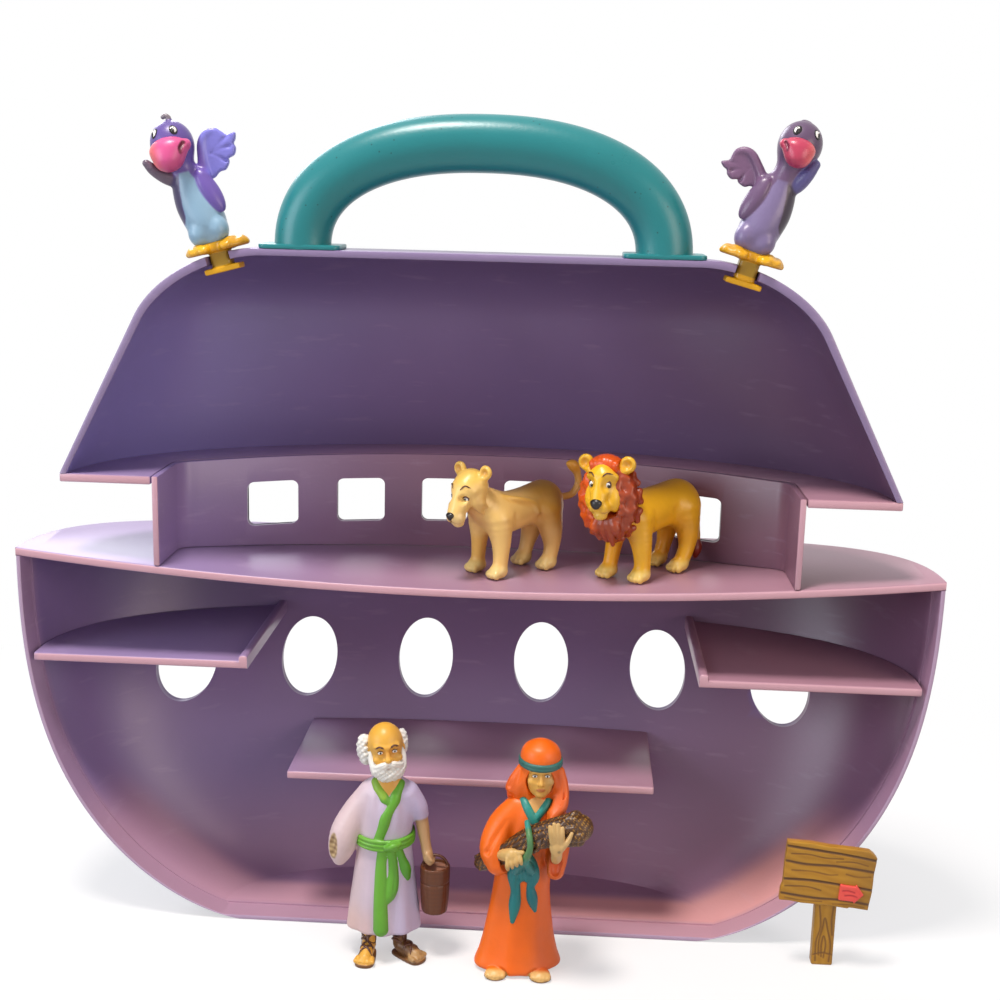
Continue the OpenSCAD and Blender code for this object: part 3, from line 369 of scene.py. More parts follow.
def trim_color(p, n):
    """Paler plastic of the decks, shelves and ledge: bluer on the left as painted cool light, warmer on the
    right as painted warm light, and palest on the front faces as painted light.
    """
    left, right = sides(p, CABIN_HALF)
    # painted cool light on the left, painted warm light on the right, painted light on the front faces
    return coats(p, (166, 129, 151), (0.7 * left, (146, 132, 184)), (0.6 * right, (176, 130, 142)),
                 (ramp(-n[:, 1], 0.4, 0.9), (208, 162, 174)))


def cabin_color(p, _):
    """Dusky purple: bluer on the left as painted cool light, darker on the right as painted shade, and pale
    front edges as painted light.
    """
    left, right = sides(p, CABIN_HALF)
    # painted cool light on the left, painted shade on the right, painted light on the front edges
    return coats(p, (142, 106, 128), (0.7 * left, (154, 140, 196)), (0.7 * right, (128, 92, 106)),
                 (ramp(EDGE - p[:, 1], 0, 0.4), (200, 156, 170)))


# Curves of the shells. t goes from 0 at the foot of a wall to 1 at its top.

# Steps of an opening's outline and of one of its corners, and those round and along the handle
OVAL_STEPS, CORNER_STEPS, GRIP_STEPS, ARCH_STEPS = 64, 8, 40, 97
# Steps of the shells, cabin and shelves from end to middle or end to end
WALL_STEPS, CABIN_STEPS, SHELF_STEPS = 60, 70, 41
# Rows of the hull and the roof, and how much closer they lie at the bilge and at the shoulder
HULL_ROWS, HULL_CROWD, ROOF_ROWS, ROOF_CROWD = 44, 1.7, 48, 1.9


def smooth(s):
    """Soft step from 0 to 1."""
    return s * s * (3 - 2 * s)


def deck_top(x):
    """Height of the deck, which rises towards both ends."""
    return DECK_Z + DECK_SHEER * (np.asarray(x) / CABIN_HALF) ** 2


def hull_a(t):
    """Half length of the hull."""
    return KEEL_HALF + (HULL_HALF - KEEL_HALF) * (1 - (1 - t) ** BILGE_TURN) ** BILGE_ROUND


def hull_b(t):
    """Depth of the hull."""
    return KEEL_DEPTH + (HULL_DEPTH - KEEL_DEPTH) * smooth(t ** FLARE_POWER)


def hull_z(t, x):
    """Height in the hull's wall, whose top follows the deck."""
    return t * (DECK_Z - DECK_T) + t ** 3 * (deck_top(x) - DECK_Z)


def roof_round(t):
    """How far the roof's shoulder has turned over, from 0 to 1."""
    return 1 - math.sqrt(1 - max(0, (t - ROOF_TURN) / (1 - ROOF_TURN)) ** 2)


def roof_a(t):
    """Half length of the roof."""
    return ROOF_HALF - ROOF_TAPER * t - ROOF_CORNER * roof_round(t)


def roof_b(t):
    """Depth of the roof."""
    return ROOF_DEPTH - ROOF_LEAN * t - ROOF_CROWN * roof_round(t)


def half_curve(a, b, e, depth, count):
    """Evenly spaced points of a quarter superellipse, from near the front to the middle of the back."""
    start = math.asin((depth / b) ** (1 / e))
    angle = start + (math.pi / 2 - start) * np.linspace(0, 1, 500) ** 3
    x = a * np.abs(np.cos(angle)) ** e
    y = b * np.sin(angle) ** e
    x[-1] = 0
    run = np.concatenate([[0], np.cumsum(np.hypot(np.diff(x), np.diff(y)))])
    even = np.linspace(0, run[-1], count)
    return np.interp(even, run, x), np.interp(even, run, y)


def curve_x(a, b, e, y):
    """Half length of a superellipse at a depth."""
    return a * max(0.0, 1 - (y / b) ** (2 / e)) ** (e / 2)


def rim_columns(wall, band=0, step=0):
    """Offset and depth of each point round the front edge of a wall, from outside to inside."""
    thin = wall - step
    columns = [(0.3 * EDGE, 0.3 * EDGE), (EDGE, 0), (thin - EDGE, 0), (thin - 0.3 * EDGE, 0.3 * EDGE),
               (thin, EDGE)]
    if step:
        columns += [(thin, band - 0.4), (thin + 0.15 * step, band), (wall - 0.15 * step, band),
                    (wall, band + 0.4)]
    return columns


def shell_row(plan, wall, band, step, count):
    """Right half of a shell's wall at one level: outside from the back to the front, then back on the inside.

    plan(offset) gives the half length, depth and exponent of the wall's curve, and a function for its height.
    """
    points = []

    def add(x, y, height):
        points.append((x, y, float(height(x))))

    a, b, e, height = plan(0)
    for x, y in list(zip(*half_curve(a, b, e, EDGE, count)))[::-1]:
        add(x, y, height)
    for offset, y in rim_columns(wall, band, step):
        a, b, e, height = plan(offset)
        add(curve_x(a, b, e, y), y, height)
    a, b, e, height = plan(wall)
    for x, y in zip(*half_curve(a, b, e, band + 0.4 if step else 2 * EDGE, count)):
        add(x, y, height)
    return points


def shell(name, rows, closed_end):
    """A half shell from rows of its right half. A flat plate closes the row closed_end (0 or -1)."""
    n = len(rows[0])
    verts = [p for row in rows for p in row]
    faces = grid_faces(len(rows), n)
    plate = range(n) if closed_end == 0 else range((len(rows) - 1) * n, len(rows) * n)
    middle = len(verts)
    verts += [(0, verts[i][1], verts[i][2]) for i in plate]
    for k in range(n - 1):
        faces.append((plate[k], plate[k + 1], middle + k + 1, middle + k))
    rim = range((len(rows) - 1) * n, len(rows) * n) if closed_end == 0 else range(n)
    faces.append(tuple(rim))
    count = len(verts)
    verts += [(-x, y, z) for x, y, z in verts]
    faces += [tuple(count + i for i in reversed(f)) for f in faces]
    return make_object(name, verts, faces)


def prism(name, outline, y0, y1):
    """A cutter with an outline in X and Z, from one depth to another."""
    return loft(name, [[(x, y, z) for x, z in outline] for y in (y0, y1)])


def oval(x, z, w, h):
    """Outline of an upright oval opening."""
    return [(x + w / 2 * math.cos(v), z + h / 2 * math.sin(v)) for v in around(OVAL_STEPS)]


def rounded_box(x, z, w, h, r):
    """Outline of a rectangle with rounded corners."""
    points = []
    for k, (sx, sz) in enumerate(((1, 1), (-1, 1), (-1, -1), (1, -1))):
        for v in np.linspace(k * math.pi / 2, (k + 1) * math.pi / 2, CORNER_STEPS):
            points.append((x + sx * (w / 2 - r) + r * math.cos(v), z + sz * (h / 2 - r) + r * math.sin(v)))
    return points


def hull_wall_y(x, z, offset):
    """Depth of the hull's wall at a place, for a given offset from its outside."""
    levels = np.linspace(0, 1, 400)
    t = float(np.interp(z, hull_z(levels, x), levels))
    a, b = hull_a(t) - offset, hull_b(t) - offset
    return curve_x(b, a, HULL_E, min(abs(x), a))


def cabin_y(x):
    """Depth of the cabin's bowed back wall."""
    return CABIN_END + (CABIN_DEPTH - CABIN_END) * (1 - (abs(x) / (CABIN_HALF - CABIN_CORNER)) ** CABIN_BOW)


OPENINGS = 6
PORTS, WINDOWS = ([(i - (OPENINGS - 1) / 2) * pitch for i in range(OPENINGS)]
                  for pitch in (PORT_PITCH, WINDOW_PITCH))


def port(x, grown=0):
    """Outline of a porthole, or of one that is larger by grown on every side."""
    return oval(x, PORT_Z, PORT_W + 2 * grown, PORT_H + 2 * grown)


def window(x, grown=0):
    """Outline of a window, or of one that is larger by grown on every side."""
    return rounded_box(x, WINDOW_Z, WINDOW_W + 2 * grown, WINDOW_H + 2 * grown, WINDOW_R + grown)


# Ark

def make_hull():
    """Open half shell with portholes, and raised frames round them at the back."""
    top = DECK_Z - DECK_T

    def row(s):
        def plan(offset):
            low = offset * FLOOR_T / HULL_WALL / top
            t = low + (1 - low) * s
            return hull_a(t) - offset, hull_b(t) - offset, HULL_E, lambda x: hull_z(t, x)
        return shell_row(plan, HULL_WALL, RIM_BAND, RIM_STEP, WALL_STEPS)

    hull = shell("hull", [row((i / HULL_ROWS) ** HULL_CROWD) for i in range(HULL_ROWS + 1)], 0)
    for x in PORTS:
        cut(hull, prism("port_cut", port(x), RIM_BAND + 2, HULL_DEPTH + 5))
    place(painted(hull, hull_color), "ark", "shell_purple", PURPLE, ["hull_shell"])
    frames = [frame_ring("port_frame", port(x), port(x, PORT_FRAME), lambda u, v: hull_wall_y(u, v, 0))
              for x in PORTS]
    place(painted(join("port_frames", frames), hull_color), "ark", "shell_purple", PURPLE)


def frame_ring(name, inner, outer, depth):
    """A raised frame on the back of a wall, between two outlines in X and Z."""
    loops = []
    for (x0, z0), (x1, z1) in zip(inner, outer):
        def at(f, rise):
            x, z = x0 + f * (x1 - x0), z0 + f * (z1 - z0)
            return (x, depth(x, z) + rise, z)
        loops.append([at(0, -0.6), at(0, PORT_LIP - 0.3), at(0.15, PORT_LIP), at(0.8, PORT_LIP),
                      at(1, PORT_LIP - 0.4), at(1, -0.6)])
    n = len(loops[0])
    verts = [p for loop in loops for p in loop]
    faces = grid_faces(len(loops), n, closed=True)
    last = (len(loops) - 1) * n
    faces += [(last + k, last + (k + 1) % n, (k + 1) % n, k) for k in range(n)]
    return make_object(name, verts, faces)


def slab(name, stations, height, under):
    """A plate through stations of X and back depth, with rounded edges, between two heights given at X."""
    loops = []
    for x, back in stations:
        z = float(height(x))
        thick = z - float(under(x))
        r = min(0.8, 0.45 * thick, 0.45 * back)
        loop = []
        for cy, cz, first in ((back - r, z - r, 0), (r, z - r, 90), (r, z - thick + r, 180),
                              (back - r, z - thick + r, 270)):
            for v in (0, 30, 60, 90):
                turn = math.radians(first + v)
                loop.append((x, cy + r * math.cos(turn), cz + r * math.sin(turn)))
        loops.append(loop)
    return loft(name, loops)


def make_decks():
    """Main deck, lower shelf and the two side shelves."""
    xs, ys = half_curve(HULL_HALF, HULL_DEPTH, HULL_E, EDGE, WALL_STEPS)
    right = list(zip(xs, ys))
    stations = [(-x, y) for x, y in right] + right[-2::-1]
    deck = slab("deck", stations, deck_top, lambda x: deck_top(x) - DECK_T)
    place(painted(deck, trim_color), "ark", "trim_lilac", LILAC, ["main_deck"])

    def back(x, z):
        return hull_wall_y(x, z - SHELF_T / 2, HULL_WALL + SHELF_FIT)

    xs = np.linspace(-LOW_SHELF_HALF, LOW_SHELF_HALF, SHELF_STEPS)
    low = slab("low_shelf", [(x, back(x, LOW_SHELF_Z)) for x in xs], lambda x: LOW_SHELF_Z,
               lambda x: LOW_SHELF_Z - SHELF_T)
    place(painted(bevel(low), trim_color), "ark", "trim_lilac", LILAC, ["lower_shelf"])
    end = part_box("right_shelf")[1].x / MM - 0.5
    # a lip with rounded edges stands up along the free end of each side shelf
    lip_x = SIDE_SHELF_X + np.array((-SHELF_T, 0.25 - SHELF_T, 0.7 - SHELF_T, -0.7, -0.25, 0, 0.02))
    lip_z = SHELF_LIP * np.array((0.7, 0.9, 1, 1, 0.9, 0.7, 0))
    xs = np.concatenate([lip_x, np.linspace(SIDE_SHELF_X, end, SHELF_STEPS)[1:]])
    for side, name in ((1, "right_shelf"), (-1, "left_shelf")):
        shelf = slab(name + "_piece", [(x, max(2, back(x, SIDE_SHELF_Z))) for x in xs],
                     lambda x: SIDE_SHELF_Z + np.interp(x, lip_x, lip_z), lambda x: SIDE_SHELF_Z - SHELF_T)
        shelf.data.transform(Matrix.Diagonal((side, 1, 1, 1)))
        if side < 0:
            shelf.data.flip_normals()
        place(painted(shelf, trim_color), "ark", "trim_lilac", LILAC, [name])


def cabin_path(offset):
    """Right half of the cabin's plan, from its front corner to the middle of its back."""
    end = CABIN_HALF + offset
    corner = np.array([(end, CABIN_END - 5 + offset), (end, CABIN_END + offset + 0.6),
                       (CABIN_HALF - 6 + offset, cabin_y(CABIN_HALF - 6) + offset)])
    bend = [((1 - f) ** 2 * corner[0] + 2 * f * (1 - f) * corner[1] + f * f * corner[2])
            for f in np.linspace(0, 1, 8)]
    front = [np.array((end, y)) for y in np.linspace(0, CABIN_END - 5 + offset, 12)[:-1]]
    back = [np.array((x * (1 + offset / CABIN_HALF), cabin_y(x) + offset))
            for x in np.linspace(CABIN_HALF - 6, 0, CABIN_STEPS)[1:]]
    return front + bend + back


def make_cabin():
    """Bowed wall with windows and end walls, and raised frames at the back."""
    inner, outer = cabin_path(0), cabin_path(CABIN_T)
    loops = []
    for (xi, yi), (xo, yo) in zip(inner, outer):
        low, high = float(deck_top(xi)) + SEAT, EAVE_Z
        loops.append([(xi, yi, low), (xo, yo, float(deck_top(xo)) + SEAT), (xo, yo, high), (xi, yi, high)])
    wall = bevel(loft("cabin", with_mirror(loops)))
    for x in WINDOWS:
        cut(wall, prism("window_cut", window(x), CABIN_END, CABIN_DEPTH + 9))
    place(painted(wall, cabin_color), "ark", "trim_lilac", LILAC, ["cabin_wall"])
    frames = [frame_ring("window_frame", window(x), window(x, WINDOW_FRAME),
                         lambda u, v: cabin_y(u) + CABIN_T) for x in WINDOWS]
    place(painted(join("window_frames", frames), cabin_color), "ark", "trim_lilac", LILAC)


def make_ledge():
    """Flat ring between the cabin's outside and the roof's edge."""
    inner = cabin_path(CABIN_T + LEDGE_FIT)
    xs, ys = half_curve(ROOF_HALF, ROOF_DEPTH, 1, 0.01, len(inner))
    loops = [[(xi, yi, EAVE_Z - LEDGE_T), (xo, yo, EAVE_Z - LEDGE_T), (xo, yo, EAVE_Z), (xi, yi, EAVE_Z)]
             for (xi, yi), xo, yo in zip(inner, xs, ys)]
    ledge = bevel(loft("ledge", with_mirror(loops)))
    place(painted(ledge, trim_color), "ark", "trim_lilac", LILAC, ["eave_ledge"])


def clip_frame():
    """Height and tilt of the right bird's clip, from its joint."""
    joint = [j for j in frame["joints"] if j["name"] == "right_bird_swivel"][0]
    return joint["pos_m"][2] / MM, math.atan2(joint["axis"][0], joint["axis"][2])


CLIP_Z, CLIP_TILT = clip_frame()


def clip_matrix(side):
    """Places a bird drawn leaning to the left: side is 1 for the right bird and -1 for the left one."""
    right = Matrix.Translation((CLIP_X, CLIP_Y, CLIP_Z)) @ Matrix.Rotation(CLIP_TILT, 4, "Y")
    turned = right @ Matrix.Diagonal((-1, 1, 1, 1))
    return turned if side > 0 else Matrix.Diagonal((-1, 1, 1, 1)) @ turned


def make_roof():
    """Open half shell with a notch for each bird."""
    def row(t):
        def plan(offset):
            high = ROOF_Z - offset
            return (roof_a(t) - offset, roof_b(t) - offset, 1 - ROOF_SQUARE * t,
                    lambda x: EAVE_Z + t * (high - EAVE_Z))
        return shell_row(plan, ROOF_WALL, 0, 0, WALL_STEPS)

    roof = shell("roof", [row(1 - (1 - i / ROOF_ROWS) ** ROOF_CROWD) for i in range(ROOF_ROWS + 1)], -1)
    for side in BOTH:
        radius = NECK_D / 2 + NECK_FIT
        outline = [(radius * math.cos(v), radius * math.sin(v)) for v in np.linspace(0, math.pi, 24)]
        outline += [(-radius - 0.6, -CLIP_Y - 4), (radius + 0.6, -CLIP_Y - 4)]
        notch = loft("notch", [[(x, y, z) for x, y in outline] for z in (-3 * ROOF_WALL, 2 * ROOF_WALL)])
        notch.data.transform(clip_matrix(side))
        if side > 0:
            notch.data.flip_normals()
        cut(roof, notch)
    place(painted(roof, roof_color), "ark", "shell_purple", PURPLE, ["roof_shell"])


def make_handle():
    """Arched grip on two flanges."""
    def arch(u):
        x = math.copysign(abs(math.cos(u)) ** (2 / ARCH_POWER), math.cos(u))
        z = abs(math.sin(u)) ** (2 / ARCH_POWER)
        return np.array((HANDLE_HALF * x, GRIP_D / 2, ROOF_Z + HANDLE_RISE * z))

    loops = []
    for u in np.linspace(0, math.pi, ARCH_STEPS):
        ahead, behind = arch(min(math.pi, u + 0.01)), arch(max(0, u - 0.01))
        run = (ahead - behind) / np.linalg.norm(ahead - behind)
        if u < 0.02 or u > math.pi - 0.02:
            run = np.array((0, 0, 1 if u < 1 else -1))
        across = np.array((run[2], 0, -run[0]))
        loops.append([arch(u) + across * GRIP_H / 2 * math.cos(v) + np.array((0, GRIP_D / 2 * math.sin(v), 0))
                      for v in around(GRIP_STEPS)])
    parts = [loft("handle_arch", loops)]
    for side in BOTH:
        plan = [(side * HANDLE_HALF + x, GRIP_D / 2 + z) for x, z in rounded_box(0, 0, FLANGE_L, GRIP_D, 2.5)]
        foot = loft("flange", [[(x, y, ROOF_Z + z) for x, y in plan] for z in (0.02, FLANGE_T)])
        parts.append(bevel(foot, 0.4))
    place(join("handle", parts), "ark", "handle_teal", TEAL, ["carry_handle"])


make_hull()
make_decks()
make_cabin()
make_ledge()
make_roof()
make_handle()


# Sculpting: solids on a grid of distances in millimetres, negative inside

FAR, TINY = 6.0, 1e-9


def smooth_min(a, b, k):
    """Union of two forms, blended over a width of about k."""
    h = np.clip(0.5 + 0.5 * (b - a) / k, 0, 1)
    return b + (a - b) * h - k * h * (1 - h)


def spline(points, count, closed=False):
    """A smooth curve through points, with count steps between neighbours."""
    p = np.asarray(points, float)
    if closed:
        p = np.concatenate([p[-1:], p, p[:2]])
    else:
        p = np.concatenate([2 * p[:1] - p[1:2], p, 2 * p[-1:] - p[-2:-1]])
    curve = []
    for a, b, c, d in zip(p[:-3], p[1:-2], p[2:-1], p[3:]):
        for f in np.arange(count) / count:
            curve.append(b + 0.5 * f * (c - a + f * (2 * a - 5 * b + 4 * c - d + f * (3 * (b - c) + d - a))))
    if not closed:
        curve.append(p[-2])
    return np.array(curve)


def limb(points, steps=4):
    """Round limb along a smooth curve through points given as (x, y, z, radius)."""
    p = spline(points, steps) if steps > 1 else np.asarray(points, float)

    def distance(x, y, z):
        best = None
        for a, b in zip(p[:-1], p[1:]):
            run = b - a
            dx, dy, dz = x - a[0], y - a[1], z - a[2]
            f = (dx * run[0] + dy * run[1] + dz * run[2]) / max(run[:3] @ run[:3], TINY)
            f = np.clip(f, 0, 1)
            d = np.sqrt((dx - f * run[0]) ** 2 + (dy - f * run[1]) ** 2 + (dz - f * run[2]) ** 2)
            d -= a[3] + f * run[3]
            best = d if best is None else np.minimum(best, d)
        return best

    return (p[:, :3] - p[:, 3:]).min(0), (p[:, :3] + p[:, 3:]).max(0), distance


def blob(at, radii, axes=((1, 0, 0), (0, 1, 0), (0, 0, 1))):
    """Ellipsoid with its own three directions as rows of axes."""
    at, radii, axes = np.array(at, float), np.array(radii, float), np.array(axes, float)
    reach = np.sqrt(((axes * radii[:, None]) ** 2).sum(0))

    def distance(x, y, z):
        near, steep = 0, 0
        for r, (ax, ay, az) in zip(radii, axes):
            q = (ax * (x - at[0]) + ay * (y - at[1]) + az * (z - at[2])) / r
            near = near + q * q
            steep = steep + (q / r) ** 2
        near = np.sqrt(near)
        return near * (near - 1) / (np.sqrt(steep) + 1e-6)

    return at - reach, at + reach, distance


def axes_along(long, face):
    """Directions for a blob: along its length, out of its face and across both."""
    long = np.array(long, float) / np.linalg.norm(long)
    face = np.array(face, float) - long * (np.array(face, float) @ long)
    face /= np.linalg.norm(face)
    return np.array((long, face, np.cross(long, face)))


def oval_distance(x, y, rx, ry):
    """Distance to an oval round the origin."""
    near = np.sqrt((x / rx) ** 2 + (y / ry) ** 2)
    return near * (near - 1) / (np.sqrt((x / rx ** 2) ** 2 + (y / ry ** 2) ** 2) + 1e-6)


def drape(rings, folds=None, edge=1.0):
    """Upright form through rings given as (z, x, y, half width, half depth).

    folds(angle, z) is how far the surface stands out there.
    """
    rows = spline(rings, 6)
    widest = rows[:, 3:].max() + 2

    def distance(x, y, z):
        cx, cy, rx, ry = (np.interp(z, rows[:, 0], rows[:, k]) for k in range(1, 5))
        d = oval_distance(x - cx, y - cy, rx, ry)
        if folds:
            d = d - folds(np.arctan2(y - cy, x - cx), z)
        caps = np.maximum(rows[0, 0] - z, z - rows[-1, 0]) + 0 * d
        return -smooth_min(-d, -caps, edge)

    low = (rows[:, 1].min() - widest, rows[:, 2].min() - widest, rows[0, 0])
    return low, (rows[:, 1].max() + widest, rows[:, 2].max() + widest, rows[-1, 0]), distance


def hoop(at, rx, ry, wire, tilt=(0, 0)):
    """Ring round an upright oval, whose height changes with X and Y by tilt."""
    reach = (rx + wire, ry + wire, wire + abs(tilt[0]) * rx + abs(tilt[1]) * ry)

    def distance(x, y, z):
        high = z - at[2] - tilt[0] * (x - at[0]) - tilt[1] * (y - at[1])
        return np.sqrt(oval_distance(x - at[0], y - at[1], rx, ry) ** 2 + high ** 2) - wire

    return np.array(at) - reach, np.array(at) + reach, distance


def outline_distance(u, v, points):
    """Signed distance to a closed outline."""
    best, inside = np.inf, False
    for (u0, v0), (u1, v1) in zip(points, np.roll(points, -1, 0)):
        du, dv = u1 - u0, v1 - v0
        f = np.clip(((u - u0) * du + (v - v0) * dv) / (du ** 2 + dv ** 2 + TINY), 0, 1)
        best = np.minimum(best, np.hypot(u - u0 - f * du, v - v0 - f * dv))
        slope = dv if abs(dv) > TINY else TINY
        inside = inside ^ (((v0 > v) != (v1 > v)) & (u < du * (v - v0) / slope + u0))
    return np.where(inside, -best, best)


def edged(flat, away, edge):
    """Distance to a plate with rounded edges, from those to its outline and to its faces."""
    flat, away = flat + edge, away + edge
    return np.hypot(np.maximum(flat, 0), np.maximum(away, 0)) + np.minimum(np.maximum(flat, away), 0) - edge


def leaf(points, middle, thick, edge=0.8):
    """Plate with an outline in X and Z, about the depth middle(x, z), and twice thick in thickness."""
    p = np.array(points, float)
    deep = [middle(x, z) for x, z in p]

    def distance(x, y, z):
        return edged(outline_distance(x, z, p), np.abs(y - middle(x, z)) - thick, edge)

    low = (p[:, 0].min(), min(deep) - thick, p[:, 1].min())
    return low, (p[:, 0].max(), max(deep) + thick, p[:, 1].max()), distance


class Clay:
    """A solid that is modelled by adding and carving forms."""

    def __init__(self, low, high, step):
        self.step = step
        self.axes = [np.arange(a, b + step, step) for a, b in zip(low, high)]
        self.d = np.full([len(a) for a in self.axes], FAR, np.float32)

    def _near(self, form, room):
        """Part of the grid near a form, and the form's distances there."""
        low, high, distance = form
        cut = tuple(slice(*np.searchsorted(axis, (a - room, b + room)))
                    for axis, a, b in zip(self.axes, low, high))
        x, y, z = (axis[c].reshape([-1 if k == i else 1 for k in range(3)])
                   for i, (axis, c) in enumerate(zip(self.axes, cut)))
        return cut, distance(x, y, z)

    def add(self, *forms, blend=0.8):
        """Adds forms, with a fillet about as wide as blend."""
        for form in forms:
            cut, d = self._near(form, 3)
            self.d[cut] = smooth_min(self.d[cut], d, blend)
        return self

    def carve(self, *forms, blend=0.4):
        """Takes forms away, with an edge rounded by about blend."""
        for form in forms:
            cut, d = self._near(form, 2)
            self.d[cut] = -smooth_min(-self.d[cut], d, blend)
        return self

    def sample(self, points):
        """Distances at points, between those of the grid."""
        at = [np.clip((p - axis[0]) / self.step, 0, len(axis) - 1.001)
              for p, axis in zip(np.transpose(points), self.axes)]
        low = [a.astype(int) for a in at]
        total = 0
        for corner in np.ndindex(2, 2, 2):
            weight = np.prod([a - l if c else 1 - a + l for a, l, c in zip(at, low, corner)], axis=0)
            total = total + weight * self.d[tuple(l + c for l, c in zip(low, corner))]
        return total

    def touch(self, start, way, reach=16):
        """First point of the surface on the way from start, and the surface's direction there."""
        way = np.array(way, float) / np.linalg.norm(way)
        run = np.linspace(0, reach, 400)
        depth = self.sample(np.array(start) + run[:, None] * way)
        first = int(np.argmax(depth < 0)) if (depth < 0).any() else int(np.argmin(depth))
        point = np.array(start) + run[first] * way
        probe = np.concatenate([point + 0.5 * np.eye(3), point - 0.5 * np.eye(3)])
        slope = self.sample(probe)
        normal = slope[:3] - slope[3:]
        return point, normal / (np.linalg.norm(normal) + TINY)

    def skin(self):
        """Points and four-sided faces of the surface."""
        inside = self.d < 0
        shape = [n - 1 for n in self.d.shape]
        total, count = np.zeros([3] + shape, np.float32), np.zeros(shape, np.float32)
        edges = []
        for axis in range(3):
            lo = tuple(slice(0, -1) if k == axis else slice(None) for k in range(3))
            hi = tuple(slice(1, None) if k == axis else slice(None) for k in range(3))
            cross = inside[lo] != inside[hi]
            step = np.where(cross, self.d[lo] - self.d[hi], 1)
            part = np.where(cross, self.d[lo] / step, 0).astype(np.float32)
            edges.append((cross, inside[lo]))
            others = [k for k in range(3) if k != axis]
            for shift in np.ndindex(2, 2):
                cut = tuple(slice(None) if k == axis
                            else slice(shift[others.index(k)], shift[others.index(k)] + shape[k])
                            for k in range(3))
                hit = cross[cut]
                count += hit
                total[axis] += part[cut]
                for k, s in zip(others, shift):
                    total[k] += s * hit
        used = count > 0
        index = np.full(shape, -1)
        index[used] = np.arange(used.sum())
        cells = np.argwhere(used)
        verts = np.stack([self.axes[k][0] + self.step * (cells[:, k] + total[k][used] / count[used])
                          for k in range(3)], 1)
        faces = []
        for axis, (cross, solid_low) in enumerate(edges):
            b, c = (axis + 1) % 3, (axis + 2) % 3
            at = np.argwhere(cross)
            at = at[(at[:, b] > 0) & (at[:, c] > 0) & (at[:, b] < shape[b]) & (at[:, c] < shape[c])]
            ring = []
            for db, dc in ((-1, -1), (0, -1), (0, 0), (-1, 0)):
                cell = at.copy()
                cell[:, b] += db
                cell[:, c] += dc
                ring.append(index[tuple(cell.T)])
            quad = np.stack(ring, 1)
            turned = ~solid_low[tuple(at.T)]
            quad[turned] = quad[turned][:, ::-1]
            faces.append(quad)
        return verts, np.concatenate(faces)


def sculpt(name, clay, color, at=Matrix.Identity(4)):
    """An object from clay, with its paint given by color(points) in 8-bit values."""
    verts, faces = clay.skin()
    mesh = bpy.data.meshes.new(name)
    mesh.vertices.add(len(verts))
    mesh.vertices.foreach_set("co", verts.astype(np.float32).ravel())
    mesh.loops.add(faces.size)
    mesh.loops.foreach_set("vertex_index", faces.astype(np.int32).ravel())
    mesh.polygons.add(len(faces))
    mesh.polygons.foreach_set("loop_start", np.arange(0, faces.size, 4, dtype=np.int32))
    mesh.update(calc_edges=True)
    mesh.validate()
    mesh.polygons.foreach_set("use_smooth", [True] * len(mesh.polygons))
    paint(mesh, color(verts))
    mesh.transform(at)
    if at.determinant() < 0:
        mesh.flip_normals()
    return link(name, mesh)


def dress(body, material, pieces):
    """Sculpts pieces given as (name, clay, color, at, slot, node), each in place of its node."""
    for name, clay, color, at, slot, replaced in pieces:
        place(sculpt(name, clay, color, at), body, slot, material, [replaced])


def within(form, points, soft=0.35):
    """Mask of the points that lie in a form."""
    return ramp(-form[2](*points.T), -soft, soft)


def either(form, points, soft):
    """Mask of the points that lie in form(1) or form(-1), the two sides of a face."""
    return np.max([within(form(s), points, soft) for s in BOTH], axis=0)


# Small raised details on a surface

# Size and height of the rings of a dome
DOME = [(0.02, 1), (0.35, 0.9), (0.65, 0.62), (0.88, 0.26), (1, 0), (1, -0.8)]
# Ways to look for a surface: from the front, from before a head that looks along +X, and from above
FROM_FRONT, FROM_SNOUT, FROM_TOP = (0, 1, 0), (-1, 0, 0), (0, 0, -1)
UP = np.array((0.0, 0.0, 1.0))
# Height of a painted line's middle above the surface, as a share of its radius
LINE_RISE = 0.3
LENS_STEPS, TUBE_STEPS = 20, 8


def lens(name, at, out, width, height, rise, material):
    """Shallow upright oval dome on a surface, such as an eye."""
    out = Vector(out).normalized()
    side = Vector(UP).cross(out).normalized()
    up = out.cross(side)
    loops = []
    for size, high in DOME:
        loops.append([Vector(at) + size * (width / 2 * math.cos(v) * side + height / 2 * math.sin(v) * up)
                      + high * rise * out for v in around(LENS_STEPS)])
    obj = loft(name, loops, ROUND)
    obj.data.materials.append(material)
    return obj


def eye(clay, at, way, layers, reach=16, lean=0):
    """Domes on a head, where way from a place meets it. They face out of it, and by lean against way.

    layers are (shift across, shift up, width, height, rise, material), from the lowest one to the top.
    """
    at, way = np.array(at, float), np.array(way, float)
    domes = []
    for across, up, width, height, rise, material in layers:
        spot, out = clay.touch(at + across * np.cross(way, UP) + up * UP, way, reach)
        domes.append(lens("eye", spot, out - lean * way, width, height, rise, material))
    return domes


def tube(name, path, radius):
    """Thin brown rod along a path, tapered at its ends."""
    path = [Vector(p) for p in path]
    loops = []
    for k, p in enumerate(path):
        run = (path[min(k + 1, len(path) - 1)] - path[max(k - 1, 0)]).normalized()
        side = run.cross(Vector((0.3, -0.2, 0.9))).normalized()
        over = run.cross(side)
        f = k / (len(path) - 1)
        r = radius * max(0.15, min(1, 5 * min(f, 1 - f)))
        loops.append([p + r * (math.cos(v) * side + math.sin(v) * over) for v in around(TUBE_STEPS)])
    obj = loft(name, loops, ROUND)
    obj.data.materials.append(INK_BROWN)
    return obj


def stroke(name, clay, points, way, radius):
    """Painted brown line on a clay surface, through places that are looked for along way."""
    path = []
    for p in spline(points, 5):
        at, out = clay.touch(p, way)
        path.append(at + out * radius * LINE_RISE)
    return tube(name, path, radius)


